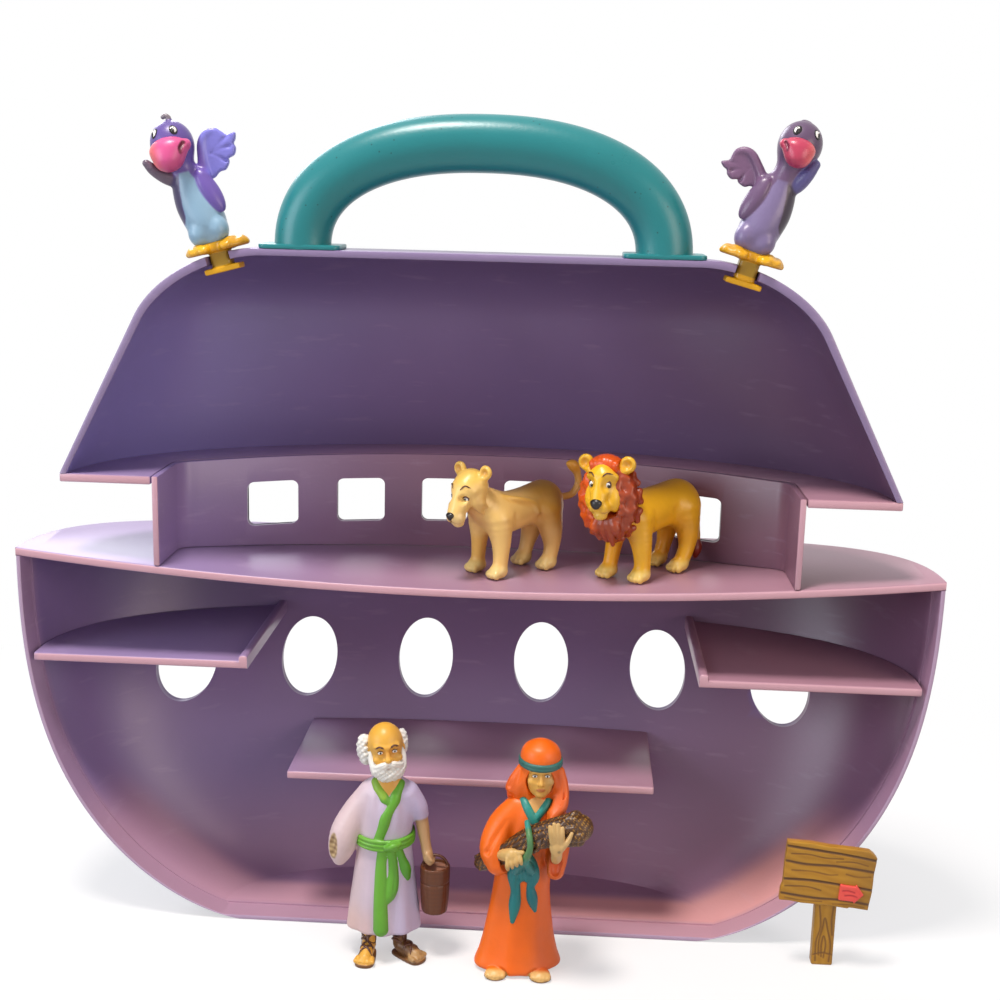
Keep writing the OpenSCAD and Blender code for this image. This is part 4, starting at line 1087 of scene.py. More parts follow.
def place_all(objs, name, body, slot, at):
    """Joins details that are drawn in a figure's own frame and hands them over."""
    obj = join(name, objs)
    obj.data.transform(at)
    if at.determinant() < 0:
        obj.data.flip_normals()
    return place(obj, body, slot)


GLOSSY = plastic("painted_gloss", tone=0.06, rough=(0.26, 0.4), grain=0.12, patch=0.008)
SATIN = plastic("painted_satin", tone=0.06, rough=(0.36, 0.5), grain=0.15, patch=0.008)
EYE_WHITE = plastic("eye_white", srgb(240, 240, 235), tone=0.03, rough=(0.2, 0.3), patch=0.004)
EYE_BLACK = plastic("eye_black", srgb(22, 18, 18), tone=0.1, rough=(0.15, 0.25), patch=0.004)
INK_BROWN = plastic("ink_brown", srgb(84, 44, 22), tone=0.15, rough=(0.3, 0.45), patch=0.004)


# Birds, drawn on the clip's axis with the roof's surface at z = 0, the front towards -Y and leaning to -X

BIRD_HEAD = (-5.8, -0.6, 38.6)
WING = [(1.6, 29), (2.4, 33), (3.4, 37.6), (6, 40.4), (8.8, 40.6), (11, 39), (12.4, 37.5), (15.3, 37.8),
        (15, 35.6), (14, 34.2), (14.3, 32.6), (13.2, 30.4), (11, 29.8), (11, 28.6), (9.2, 26.4), (7, 26.2),
        (4.6, 24.6), (1.6, 25)]
WING_ROOT = (2, 27)
WING_EDGE = [(2, 0.4, 27, 2), (2.6, 0.6, 32, 1.6), (3.8, 1, 37, 1.5), (6, 1.4, 39.4, 1.2), (9, 2, 39.6, 0.8)]
BIRD_EYES = [(-9.5, 43), (-2.7, 42.6)]
# Eye layers: outline, white, pupil, and a small white dot on the pupil as a painted glint
BIRD_EYE = [(0, 0, 2.8, 3.6, 0.3, EYE_BLACK), (0.1, 0, 2.2, 3, 0.5, EYE_WHITE),
            (-0.25, -0.3, 1.5, 2.2, 0.8, EYE_BLACK), (0.1, 0.4, 0.5, 0.7, 0.95, EYE_WHITE)]
FOLDED_WING = ((3.2, -2.6, 20.6), axes_along((4.4, 0.3, -13.6), (0.6, -0.8, 0)))


def swing(x, z, turn):
    """A place on the raised wing, turned down by turn degrees about its root and a little shorter."""
    size = 1 - 0.0035 * turn
    c, s = size * math.cos(math.radians(turn)), size * math.sin(math.radians(turn))
    x, z = x - WING_ROOT[0], z - WING_ROOT[1]
    return WING_ROOT[0] + x * c + z * s, WING_ROOT[1] - x * s + z * c


def swung(points, turn):
    """Points of a limb on the raised wing after the same turn."""
    return [(*np.insert(swing(x, z, turn), 1, y), r) for x, y, z, r in points]


def wing_depth(x, z):
    """Depth of the middle of the raised wing."""
    return 1.4 + 0.11 * (x - 3)


def bird_clay(lift, turn, arm):
    """A bird with its head raised by lift, its wing turned down by turn and its other wing along arm."""
    clay = Clay((-19, -13, 2.4), (21, 10, 51), 0.4)
    clay.add(drape([(3.6, -1.2, 0, 4.9, 4.8), (7, -1.6, 0, 6.3, 6), (11, -2, 0, 7.1, 6.8),
                    (17, -3.1, 0.2, 7.3, 6.6), (23, -3.9, 0.2, 6.3, 5.6), (28, -4.3, 0, 4.9, 4.6),
                    (32 + lift / 2, -4.8, -0.4, 4.4, 4.6), (36 + lift, -5.4, -0.8, 5, 5)]))
    clay.add(blob(BIRD_HEAD + np.array((0, 0, lift)), (7.3, 7.3, 7.9)), blend=2.5)
    # thighs with a groove between them
    clay.add(blob((-4.4, -3, 7.6), (3.8, 4, 4.4)), blob((2.2, -2.6, 8), (3.6, 4, 4.6)), blend=1)
    clay.carve(limb([(-0.8, -8, 12, 0.5), (-1.1, -7.4, 8, 0.8), (-1.2, -6.6, 3, 0.8)]), blend=0.8)
    # raised wing, with a rolled front edge and grooves between its feathers
    clay.add(leaf(spline([swing(x, z, turn) for x, z in WING], 3, closed=True), wing_depth, 1.3), blend=1.2)
    clay.add(limb(swung(WING_EDGE, turn)), blend=0.9)
    for x, z in ((12.6, 37), (12.6, 33.6), (10.2, 29.2)):
        path = [(6, 0.2, 32.6, 0.3), ((6 + x) / 2, 0.3, (33 + z) / 2, 0.5), (x, 1.2, z, 0.6)]
        clay.carve(limb(swung(path, turn)))
    # folded wing over the flank
    clay.add(blob(FOLDED_WING[0], (8, 2.2, 3.2), FOLDED_WING[1]), blend=0.5)
    clay.add(limb([(-1.4, 0, 28, 2.6), (1.6, -1.2, 26, 2.3)]), blend=1.4)
    # wing held up to the bill
    clay.add(limb(arm), blend=1)
    # crest
    clay.add(limb([(-5, -0.6, 45.4 + lift, 1.1), (-4.6, -0.6, 47.2 + lift / 2, 0.9),
                   (-5.4, -0.6, 48.1 + lift / 5, 0.85), (-6.4, -0.6, 47.9 + lift / 4, 0.75)]), blend=0.6)
    return clay


def bill_clay():
    """The bill, drawn about its own middle."""
    clay = Clay((-9, -9, -9), (10, 5, 7), 0.35)
    clay.add(blob((0, 0, 0.4), (7, 5.6, 4.6)), blob((-0.6, -1.2, -3), (5.2, 5, 4.2)), blend=2.4)
    clay.add(blob((6.4, 0.6, 1), (1.7, 2.4, 1.9)), blend=1)
    clay.carve(limb([(6.2, -2, 1.4, 0.5), (5.2, -3.4, 0, 0.7), (5.2, -4, -1.4, 0.4)]), blend=0.5)
    return clay


def make_bird(side, name, lift, turn, arm, bill_at, bill_size, coat, plume_coat, belly, arm_coat, bill):
    """side is 1 for the right bird and -1 for the left one; the last values are the colours of its parts,
    with painted light and shade in them.
    """
    rise, inward = (RIGHT_RISE, RIGHT_IN) if side > 0 else (0, 0)
    foot = clip_matrix(side) @ Matrix.Translation((0, 0, rise))
    at = foot @ Matrix.Translation((inward, 0, 0))
    bill_place = at @ Matrix.Translation(bill_at) @ Matrix.Scale(bill_size, 4)
    clay = bird_clay(lift, turn, arm)
    dark = tuple(0.55 * c for c in coat)

    def color(p):
        x, y, z = p.T
        left = np.interp(z, (4, 11, 14, 18, 24, 28), (-9.6, -8.6, -7, -7, -6.4, -5.6))
        right = np.interp(z, (4, 12, 16, 22, 28), (9, 9, 3.2, 1.2, -1.8))
        front = ramp(-y, -3, -2) * ramp(x - left, -0.3, 0.3) * ramp(right - x, -0.3, 0.3)
        front = front * ramp(29 - z, 0, 0.8)
        low = ramp(12.2 - z + 0.25 * y, -0.4, 0.4)
        flank = ramp(left - x, -0.4, 0.4) * ramp(29 - z, 0, 2) * ramp(z - 11.6, 0, 0.8)
        held = within(limb([(px, py, pz, r + 0.5) for px, py, pz, r in arm[1:]]), p, 0.4)
        plume = ramp(x - 2.6, 0, 2) * ramp(z - 23.6 + 0.1 * turn, 0, 1)
        fold = within(blob(FOLDED_WING[0], (8.3, 2.6, 3.5), FOLDED_WING[1]), p)
        return coats(p, coat, (ramp(z - 30, 0, 10) * 0.25, dark), (plume, plume_coat),
                     (front, belly), (low, belly), (flank, dark), (fold, coat), (held, arm_coat),
                     (ramp(z - 46.4 - lift, 0, 0.6), (128, 118, 126)),
                     (0.35 * low * ramp(5.4 - z, 0, 2), (90, 100, 110)))

    def bill_color(p):
        x, _, z = p.T
        mouth = within(limb([(6.2, -2, 1.6, 0.8), (5, -3.4, 0, 1), (5, -4, -1.6, 0.7)]), p, 0.4)
        return coats(p, bill, (ramp(-1 - x, 0, 5), (236, 110, 112)), (mouth, (120, 34, 64)),
                     (0.5 * ramp(-3 - z, 0, 4), (170, 56, 100)))

    dress(name, GLOSSY, [(name + "_form", clay, color, at, "bird_purple", name + "_body"),
                         (name + "_muzzle", BILL_CLAY, bill_color, bill_place, "bill_pink", name + "_bill")])
    eyes = [dome for x, z in BIRD_EYES for dome in eye(clay, (x, -14, z + lift), FROM_FRONT, BIRD_EYE)]
    place_all(eyes, name + "_eyes", name, "bird_purple", at)
    dress(name, GLOSSY, [(name + "_feet", clip_clay(rise), clip_color, foot, "clip_gold", name + "_clip")])


PLATE_L, PLATE_W, PLATE_T, PLATE_GAP, FEET_GAP, FEET_T = 12.6, 8, 2, 2.1, 0.7, 3.8
FOOT_R, FOOT_OUT, FOOT_FRONT, FOOT_TURN, TOE_LOBE = 5, 5.8, 1.6, 20, 1.2


def foot_outline(side):
    """Webbed foot seen from above, with three rounded toes in front."""
    points = []
    turn = math.radians(-FOOT_TURN * side)
    for v in np.radians(np.arange(0, 360, 10)):
        r = FOOT_R + TOE_LOBE * max(0, math.cos(3 * (v + math.pi / 2))) * (1 if math.sin(v) < 0.3 else 0.2)
        x, y = r * math.cos(v), 1.2 * r * math.sin(v)
        points.append((side * FOOT_OUT + x * math.cos(turn) - y * math.sin(turn),
                       x * math.sin(turn) + y * math.cos(turn) - FOOT_FRONT))
    return np.array(points)


def webbed(side):
    """Thick foot with a rounded top, seated above the roof."""
    outline = foot_outline(side)

    def distance(x, y, z):
        flat = outline_distance(x, y, outline)
        crown = FEET_GAP + FEET_T * (0.55 + 0.45 * np.clip(-flat / 3, 0, 1))
        crown = crown + 0.25 * np.cos(1.7 * (x - FOOT_OUT * side))
        return -smooth_min(-(flat + 0 * z), -np.maximum(z - crown, FEET_GAP - z), 1.2)

    low, high = outline.min(0), outline.max(0)
    return (low[0], low[1], FEET_GAP), (high[0], high[1], FEET_GAP + FEET_T + 0.3), distance


def block(low, high, edge):
    """Box with rounded edges."""
    low, high = np.array(low, float), np.array(high, float)
    middle, half = (low + high) / 2, (high - low) / 2 - edge

    def distance(x, y, z):
        q = [np.abs(v - m) - h for v, m, h in zip((x, y, z), middle, half)]
        out = np.sqrt(sum(np.maximum(v, 0) ** 2 for v in q))
        return out + np.minimum(np.maximum(np.maximum(q[0], q[1]), q[2]), 0) - edge

    return low, high, distance


def clip_clay(rise):
    """Clip whose feet stand higher by rise."""
    clay = Clay((-15, -12, -8 - rise), (15, 8, 6), 0.35)
    under = -ROOF_WALL - PLATE_GAP - rise
    clay.add(webbed(1), webbed(-1), blend=0.5)
    clay.add(block((-5.4, -5, FEET_GAP), (5.4, 4.4, FEET_GAP + FEET_T - 0.2), 1.2), blend=0.9)
    clay.add(block((-NECK_D / 2, -NECK_D / 2 + 0.2, under - 1),
                   (NECK_D / 2, NECK_D / 2 - 0.2, FEET_GAP + 1.5), 1.4), blend=0.4)
    clay.add(block((-PLATE_L / 2, -PLATE_W / 2, under - PLATE_T), (PLATE_L / 2, PLATE_W / 2, under), 0.5),
             blend=0.4)
    return clay


def clip_color(p):
    x, _, z = p.T
    neck = ramp(0.6 - z, 0, 0.5) * ramp(z + 4.6, 0, 0.5)
    return coats(p, (238, 178, 22), (ramp(x, -2, 8) * ramp(z, 0, 1), (206, 150, 16)), (neck, (172, 136, 30)),
                 (0.6 * ramp(1.6 - z, 0, 1) * ramp(z, 0, 1), (190, 120, 10)))


BILL_CLAY = bill_clay()
LEFT_ARM = [(-6.6, -0.8, 26.4, 2.6), (-10, -2.4, 28.4, 2.5), (-13.2, -4.2, 31.6, 2), (-15, -5, 34.4, 1.3)]
RIGHT_ARM = [(-6.6, -0.8, 26.4, 2.6), (-9, -1.8, 28.8, 2.6), (-10.8, -3.2, 32.4, 2.3),
             (-12.2, -3.8, 36.4, 1.7)]
# Both birds wear one paint: the left bird's light blue raised wing, each bird's held wing, and the right
# bird's darker, warmer coat, wing, belly and bill are painted light and shade.
make_bird(-1, "left_bird", lift=0, turn=0, arm=LEFT_ARM, bill_at=(-6, -6, 36.2), bill_size=0.95,
          coat=(110, 88, 170), plume_coat=(136, 134, 224), belly=(140, 176, 200), arm_coat=(104, 88, 106),
          bill=(218, 88, 146))
make_bird(1, "right_bird", lift=2.6, turn=31, arm=RIGHT_ARM, bill_at=(-5, -6.2, 39.2), bill_size=0.8,
          coat=(108, 82, 116), plume_coat=(122, 90, 122), belly=(126, 112, 152), arm_coat=(98, 92, 148),
          bill=(192, 64, 94))


# Lion and lioness, drawn standing at z = 0 with the head towards +X

ANIMAL_SEAT = 0.15
FLOOR_CUT = block((-60, -30, -9), (60, 30, 0.03), 0)
# Where a head's surface is looked for from, how far, and how much its eyes face ahead
SNOUT_X, SNOUT_REACH, EYES_AHEAD = 18, 24, 1.2


def animal_matrix(x, y, turn):
    """Place of an animal on the sloping deck."""
    slope = math.atan(2 * DECK_SHEER * x / CABIN_HALF ** 2)
    return (Matrix.Translation((x, y, float(deck_top(x)) + ANIMAL_SEAT)) @ Matrix.Rotation(-slope, 4, "Y")
            @ Matrix.Rotation(math.radians(turn), 4, "Z"))


def head_matrix(body, at, look):
    """Place of a head that is turned to the side by look."""
    return body @ Matrix.Translation(at) @ Matrix.Rotation(math.radians(look), 4, "Z")


def add_legs(clay, legs):
    """Legs given as (points, X and Y of the paw, half its width), with four toes on each paw."""
    for points, (x, y), wide in legs:
        clay.add(limb(points), blend=2.4)
        clay.add(blob((x - 0.4, y, 2.5), (3.6, wide, 2.6)), blend=1.2)
        for k in (-1.5, -0.5, 0.5, 1.5):
            clay.add(blob((x + 2.5 - 0.3 * k * k, y + 0.46 * wide * k, 1.6), (1.6, 1, 1.5)), blend=0.45)


def paw_mask(p, legs):
    """Where the paws are painted paler."""
    near = np.min([np.hypot(p[:, 0] - x, p[:, 1] - y) for _, (x, y), _ in legs], axis=0)
    return ramp(5 - p[:, 2], -0.8, 1.6) * ramp(5.4 - near, 0, 1)


def animal_eye(clay, y, z, width, height, pupil_up, pupil_side):
    """White oval with a brown outline, a dark pupil that is shifted up and to the side, and a small white dot
    on the pupil as a painted glint.
    """
    layers = [(across, up, width * size, height * size, rise, material)
              for across, up, size, rise, material in
              ((0, 0.1, 1.16, 0.3, INK_BROWN), (0, 0, 1, 0.5, EYE_WHITE),
               (pupil_side, pupil_up, 0.66, 0.8, EYE_BLACK),
               (pupil_side + 0.25, pupil_up + 0.45, 0.2, 0.94, EYE_WHITE))]
    return eye(clay, (SNOUT_X, y, z), FROM_SNOUT, layers, SNOUT_REACH, EYES_AHEAD)


def animal_line(clay, points, s, radius):
    """Brow or eyelid on one side of a head, through places given as (y, z)."""
    return stroke("line", clay, [(SNOUT_X, y * s, z) for y, z in points], FROM_SNOUT, radius)


def animal_nose(name, clay, shade):
    """Dark nose, which is joined to a head's small details."""
    obj = sculpt(name, clay, lambda p: coats(p, shade))
    obj.data.materials.append(GLOSSY)
    return obj


LION_AT = animal_matrix(60.9, 26.2, 222.4)
LION_HEAD_AT = head_matrix(LION_AT, (19.4, 0.8, 32.6), 25)
LION_LEGS = [
    ([(-16.6, 4.2, 23, 6.2), (-17.4, 5.4, 15, 4.4), (-16.4, 6, 9, 3.1), (-13.6, 6, 3.6, 2.8)],
     (-11.6, 6), 3.5),
    ([(-16.6, -4.2, 23, 6), (-17.8, -5.4, 15, 4.2), (-17, -6, 9, 3), (-14.8, -6, 3.6, 2.7)],
     (-12.8, -6), 3.4),
    ([(7.6, 4.4, 22, 5.6), (7.4, 6.2, 14, 3.9), (7.4, 6.8, 8, 3.1), (7.8, 6.9, 3.4, 3)], (9.2, 6.9), 3.6),
    ([(9, -4.4, 22, 5.4), (9, -5.8, 14, 3.4), (10, -6.3, 8, 2.8), (11.2, -6.4, 3.4, 2.7)], (12.6, -6.4), 3.6)]


def lion_body():
    clay = Clay((-29, -14, -0.6), (24, 14, 39), 0.45)
    clay.add(limb([(-16.8, 0, 24.8, 8.6), (-8, 0, 24.4, 8), (2, 0, 23.4, 8.5), (9, 0, 25, 8.3),
                   (15, 0.4, 30, 6.4)]))
    add_legs(clay, LION_LEGS)
    # ribs and flank folds, then the tail with its tuft
    clay.carve(limb([(-8.4, 8.6, 24, 0.6), (-9.4, 9.4, 19, 0.7), (-8, 8.4, 16, 0.5)]),
               limb([(2.4, 9.4, 25, 0.5), (1.6, 9.8, 19, 0.6)]), blend=1.6)
    clay.add(limb([(-24.4, 0.6, 27, 1.5), (-25.6, 1.8, 20, 1.2), (-25.2, 3, 12, 1.2), (-24.4, 3.5, 9, 1.3)]),
             blend=1)
    clay.add(limb([(-24.6, 3.5, 9.4, 1.2), (-24, 3.6, 6.6, 2.3), (-23.6, 3.6, 3.4, 0.9)]), blend=0.6)
    return clay.carve(FLOOR_CUT)


def lion_color(p):
    x, y, z = p.T
    tuft = ramp(-21.5 - x, 0, 0.6) * ramp(10.2 - z, 0, 0.6)
    # darker on the back as painted shade, more orange low on the left side as painted warm light
    return coats(p, (242, 182, 30), (0.75 * ramp(z - 27, 0, 6), (218, 160, 18)),
                 (0.5 * ramp(21 - z, 0, 6) * ramp(z - 12, 0, 6), (230, 174, 62)),
                 (0.7 * ramp(-y, 0, 4) * ramp(17 - z, 0, 4), (246, 170, 24)),
                 (0.85 * paw_mask(p, LION_LEGS), (242, 212, 126)), (tuft, (140, 48, 24)))


def lion_mouth(s, tip=0.35):
    """Half of the line between the lips."""
    return limb([(10, 0, -4, tip), (8.8, 1.6 * s, -4.9, 0.4), (6.8, 3.4 * s, -4.2, 0.4)])


def lion_head():
    clay = Clay((-10, -13, -13), (14, 13, 17), 0.36)
    clay.add(blob((-1, 0, 3.4), (7, 6.6, 7.8)), limb([(3.4, 0, 8, 4), (5.6, 0, 4, 3.7), (7.6, 0, -0.4, 3)]),
             blend=2.2)
    clay.add(blob((6.6, 1.7, -2.8), (2.9, 2.3, 2.7)), blob((6.6, -1.7, -2.8), (2.9, 2.3, 2.7)),
             blob((5.8, 0, -6), (2.7, 2.5, 1.9)), blend=1)
    for s in BOTH:
        clay.add(blob((2.8, 4.2 * s, -0.6), (3.2, 2.6, 4.6)),
                 limb([(6.4, 1.3 * s, 8.2, 1.1), (5.2, 3.2 * s, 8.6, 1.1), (3.6, 5 * s, 7.4, 1)]), blend=1.6)
        clay.carve(blob((8.2, 3.2 * s, 5), (2, 1.7, 2)), blend=1.4)
        clay.add(limb([(-0.8, 5.4 * s, 8.4, 2.4), (-0.8, 6.6 * s, 9.8, 2.2)]),
                 blob((-0.7, 7.9 * s, 11.4), (1.6, 3, 3)), blend=1)
        clay.carve(blob((1.3, 8.1 * s, 11.5), (1.7, 2, 2)), blend=0.5)
        clay.carve(lion_mouth(s), blend=0.5)
    return clay.carve(limb([(11, 0, -2, 0.3), (9.6, 0, -4.2, 0.35)]), blend=0.4)


def lion_face(p):
    x, y, z = p.T
    mouth = either(lambda s: lion_mouth(s, 0.3), p, 0.3)
    ear = either(lambda s: blob((1.2, 8.1 * s, 11.5), (1.9, 1.9, 1.9)), p, 0.4)
    # darker on the right side of the face as painted shade
    return coats(p, (244, 188, 36), (0.6 * ramp(-2 - z, 0, 3) * ramp(x - 4, 0, 2), (240, 196, 96)),
                 (0.6 * ear, (224, 150, 40)),
                 (0.35 * ramp(y, 0, 4) * ramp(z + 2, 0, 6), (214, 170, 66)), (0.7 * mouth, (120, 62, 20)))


# Middle of the mane, and its two rings of locks: number, inner and outer radius, inner and outer X, thickness
MANE_Y, MANE_Z = 0.5, -1.9
MANE_RINGS = [(22, 6.9, 10.8, 2.6, 0.6, 1.6), (26, 9.2, 11.6, 0, -3.6, 1.75)]


def mane_locks():
    """Wavy locks in two wreaths round the face, down to a point on the chest."""
    locks = []
    for ring, (count, near, far, x0, x1, thick) in enumerate(MANE_RINGS):
        for k in range(count):
            v = math.radians(90 + (k + 0.5 * ring) * 360 / count)
            drop = 1.28 + 0.1 * (math.sin(v) < 0)
            turn = 0.17 * (1 if k % 2 else -1)
            path = []
            for f in (0, 0.35, 0.7, 1):
                r, wave = near + f * (far - near) - 0.6, v + turn * math.sin(3.2 * f)
                y, z = r * math.cos(wave) + MANE_Y, drop * r * math.sin(wave) + MANE_Z
                path.append((x0 + f * (x1 - x0), y, z, thick * (1 - 0.3 * f)))
            if math.sin(v) < 0.72 or ring:
                locks.append(limb(path, 3))
    for y, low in ((-2.4, -13.6), (0.4, -15.8), (3, -17.4), (5.4, -14.6)):
        locks.append(limb([(3, 0.7 * y, -8, 1.9), (3.4, y - 0.6, -11, 1.9), (1.6, y, low, 0.8)], 3))
    return locks


def lion_mane():
    clay = Clay((-10, -15, -21), (9, 15, 17), 0.36)
    clay.add(blob((-3.4, 0.6, -1.6), (4.6, 10.2, 12.6)), blob((0, 0, 10.8), (4.4, 5.6, 4)),
             blob((-1.4, 1, -9), (5, 6, 6)), blend=2)
    wreath = [(-0.2, 8.5 * math.cos(v) + MANE_Y, 11.2 * math.sin(v) + MANE_Z, 2.5)
              for v in np.radians(np.arange(0, 361, 15))]
    clay.add(limb(wreath, 1), blend=1.5)
    clay.add(*MANE_LOCKS, blend=0.55)
    for k in range(-3, 4):
        clay.add(limb([(3.4 - 0.12 * k * k, 1.35 * k, 10.2 - 0.1 * k * k, 0.9),
                       (2.4, 1.5 * k, 13 - 0.14 * k * k, 1.1),
                       (-1.5, 1.6 * k, 13.6 - 0.16 * k * k, 1.1)]), blend=0.4)
    for s in BOTH:
        clay.carve(blob((0.2, 8 * s, 11.6), (3, 3.2, 3.2)), blend=0.3)
    return clay


def mane_color(p):
    _, y, z = p.T
    ridge = np.max([within((None, None, lambda a, b, c, lock=lock: lock[2](a, b, c) + 0.15), p, 0.3)
                    for lock in MANE_LOCKS], axis=0)
    # orange on top and on the left; rust-red on the right and low down as painted shade
    orange = np.maximum(ramp(z - 8.4, 0, 1.4), ramp(-2.2 - y, -1.5, 1.5) * ramp(z + 15, 0, 4))
    dark = coats(p, (150, 56, 18), (ridge, (196, 88, 28)))
    warm = coats(p, (216, 84, 14), (ridge * ramp(9 - z, 0, 2), (236, 128, 28)))
    return dark + np.clip(orange, 0, 1)[:, None] * (warm - dark)


MANE_LOCKS = mane_locks()


def make_lion():
    head = lion_head()
    dress("lion", GLOSSY, [("lion_trunk", lion_body(), lion_color, LION_AT, "lion_gold", "lion_body"),
                           ("lion_face", head, lion_face, LION_HEAD_AT, "lion_gold", "lion_head"),
                           ("lion_locks", lion_mane(), mane_color, LION_HEAD_AT, "mane_rust", "lion_mane")])
    nose = Clay((7.5, -3.4, -4), (13, 3.4, 2), 0.3)
    nose.add(blob((9.9, 0, -0.9), (1.7, 2.2, 1.6)), blob((10.2, 0, -2), (1.2, 1.3, 1.2)), blend=0.8)
    parts = [animal_nose("lion_nose", nose, (24, 20, 20))]
    for y in (-3.2, 3):
        parts += animal_eye(head, y, 5, width=2.1, height=2.7, pupil_up=-0.3, pupil_side=0.2)
    parts += [animal_line(head, [(1.4, 8), (2.8, 9.2), (4.6, 8.8)], s, 0.28) for s in BOTH]
    place_all(parts, "lion_details", "lion", "lion_gold", LION_HEAD_AT)


LIONESS_AT = animal_matrix(10.6, 28, 220)
LIONESS_HEAD_AT = head_matrix(LIONESS_AT, (17.6, 0, 31.4), 13)
LIONESS_LEGS = [
    ([(-15, 4, 22, 5.8), (-16.4, 5, 14, 4.2), (-16.4, 5.5, 8.4, 3), (-15.2, 5.5, 3.4, 2.7)], (-14, 5.5), 3.3),
    ([(-14, -4, 22, 5.6), (-14.8, -5, 14, 4), (-13.6, -5.5, 8.4, 2.9), (-12, -5.5, 3.4, 2.6)],
     (-10.8, -5.5), 3.2),
    ([(7.6, 4.2, 21, 5.4), (7.4, 5.6, 13.6, 3.7), (7.8, 6.2, 8, 2.9), (8.4, 6.4, 3.4, 2.7)], (9.6, 6.4), 3.2),
    ([(9, -4.2, 21, 5.2), (9, -5.4, 13.6, 3.3), (9, -5.9, 8, 2.7), (9.2, -6, 3.4, 2.6)], (10.2, -6), 3.4)]
LIONESS_SHOULDER = [(5.4, 4.4, 29.4, 0.8), (0, 6, 28.4, 1), (-6.2, 6.4, 26.4, 0.9), (-8.4, 7, 22.6, 0.5)]


def lioness_body():
    clay = Clay((-37, -13, -0.6), (23, 13, 40), 0.45)
    clay.add(limb([(-15.6, 0, 24.8, 8), (-6, 0, 23.6, 7.2), (2.4, 0, 22.6, 7.7), (8.4, 0, 24.6, 7.4),
                   (14, 0, 28.6, 5.8)]))
    add_legs(clay, LIONESS_LEGS)
    # edge of the shoulder, flank fold and tail with its tuft
    clay.add(limb(LIONESS_SHOULDER), blend=1.4)
    clay.carve(limb([(-9.4, 7.4, 21, 0.6), (-10, 7.6, 17, 0.5)]),
               limb([(2.6, 8.4, 23, 0.4), (2, 8.4, 18, 0.5)]), blend=1.5)
    clay.add(limb([(-21.6, 0, 25.8, 1.8), (-26, 0, 25.3, 1.4), (-30.4, 0, 26, 1.35), (-33.2, 0, 30, 1.35),
                   (-32.2, 0, 34.6, 1.4)]), blend=1.2)
    clay.add(limb([(-32.2, 0, 34.4, 1.5), (-30.4, 0, 36.8, 2.2), (-27.8, 0, 37.8, 0.8)]), blend=0.6)
    return clay.carve(FLOOR_CUT)


def lioness_color(p):
    x, y, z = p.T
    saddle = within(limb([(px, py, pz, r + 0.8) for px, py, pz, r in LIONESS_SHOULDER[:3]]), p, 0.9)
    return coats(p, (240, 198, 116),
                 (0.8 * ramp(-4 - x + 0.3 * (z - 24), 0, 9) * ramp(z - 14, 0, 8), (212, 152, 52)),
                 (0.8 * saddle, (240, 188, 84)), (ramp(-21.5 - x, 0, 2), (226, 170, 84)),
                 # more orange low on the left front as painted warm light
                 (0.6 * ramp(-y, 0, 4) * ramp(16 - z, 0, 4) * ramp(x, 0, 3), (234, 180, 74)),
                 (0.8 * paw_mask(p, LIONESS_LEGS), (228, 202, 130)),
                 (ramp(-26 - x, 0, 1) * ramp(z - 34, 0, 1.6), (226, 160, 56)))


def lioness_mouth(s, thin=0):
    """Half of the line between the lips."""
    return limb([(9.8, 0, -8.6, 0.3 - thin), (8.2, 1.6 * s, -9.4, 0.35 - thin),
                 (5.4, 2.9 * s, -8.2, 0.35 - thin)])


def lioness_head():
    clay = Clay((-10, -11, -14), (14, 11, 13), 0.36)
    clay.add(blob((-0.6, 0, 2.4), (6.4, 6.3, 6.6)),
             limb([(3, 0, 1.6, 4.5), (5.4, 0, -2.8, 3.9), (8, 0, -6.8, 2.9)]), blend=2)
    clay.add(blob((7.2, 1.5, -7.8), (2.6, 2.1, 2.3)), blob((7.2, -1.5, -7.8), (2.6, 2.1, 2.3)),
             blob((6, 0, -10), (2.2, 2, 1.5)), blend=0.9)
    for s in BOTH:
        clay.add(limb([(5, 1.2 * s, 2.4, 1), (4.4, 2.8 * s, 2.8, 1), (3, 4.4 * s, 1.6, 0.9)]),
                 blob((0, 4.6 * s, -2.4), (3.4, 1.9, 3.2)), blend=1.6)
        clay.add(limb([(0, 5.4 * s, -3, 1.2), (-2.4, 6 * s, -4.6, 0.9)]),
                 limb([(0.4, 5 * s, -5, 1.1), (-1.6, 5.2 * s, -7, 0.7)]), blend=1)
        clay.carve(blob((7.2, 2.9 * s, -0.8), (1.8, 1.5, 1.3)), blend=1.2)
        clay.add(limb([(-1.2, 4.6 * s, 5.6, 2), (-1.6, 5.4 * s, 7, 1.8)]),
                 blob((-1.5, 6.1 * s, 8.2), (1.5, 2.6, 2.6)), blend=0.9)
        clay.carve(blob((0.4, 6.3 * s, 8.2), (1.6, 1.7, 1.7)), blend=0.5)
        clay.carve(lioness_mouth(s), blend=0.5)
    return clay


def lioness_face(p):
    x, y, z = p.T
    mouth = either(lambda s: lioness_mouth(s, 0.05), p, 0.3)
    ear = either(lambda s: blob((0.4, 6.3 * s, 8.2), (1.8, 1.7, 1.7)), p, 0.4)
    return coats(p, (244, 204, 120), (0.85 * ramp(z - 2.6, 0, 3.4), (246, 200, 92)),
                 (0.6 * ramp(-4.6 - z, 0, 2) * ramp(x - 4, 0, 2), (238, 208, 146)),
                 (0.5 * ear, (206, 140, 60)), (0.7 * mouth, (120, 70, 34)),
                 # darker low on the right cheek as painted shade
                 (0.4 * ramp(y - 3, 0, 3) * ramp(2 - z, 0, 4), (200, 154, 86)))


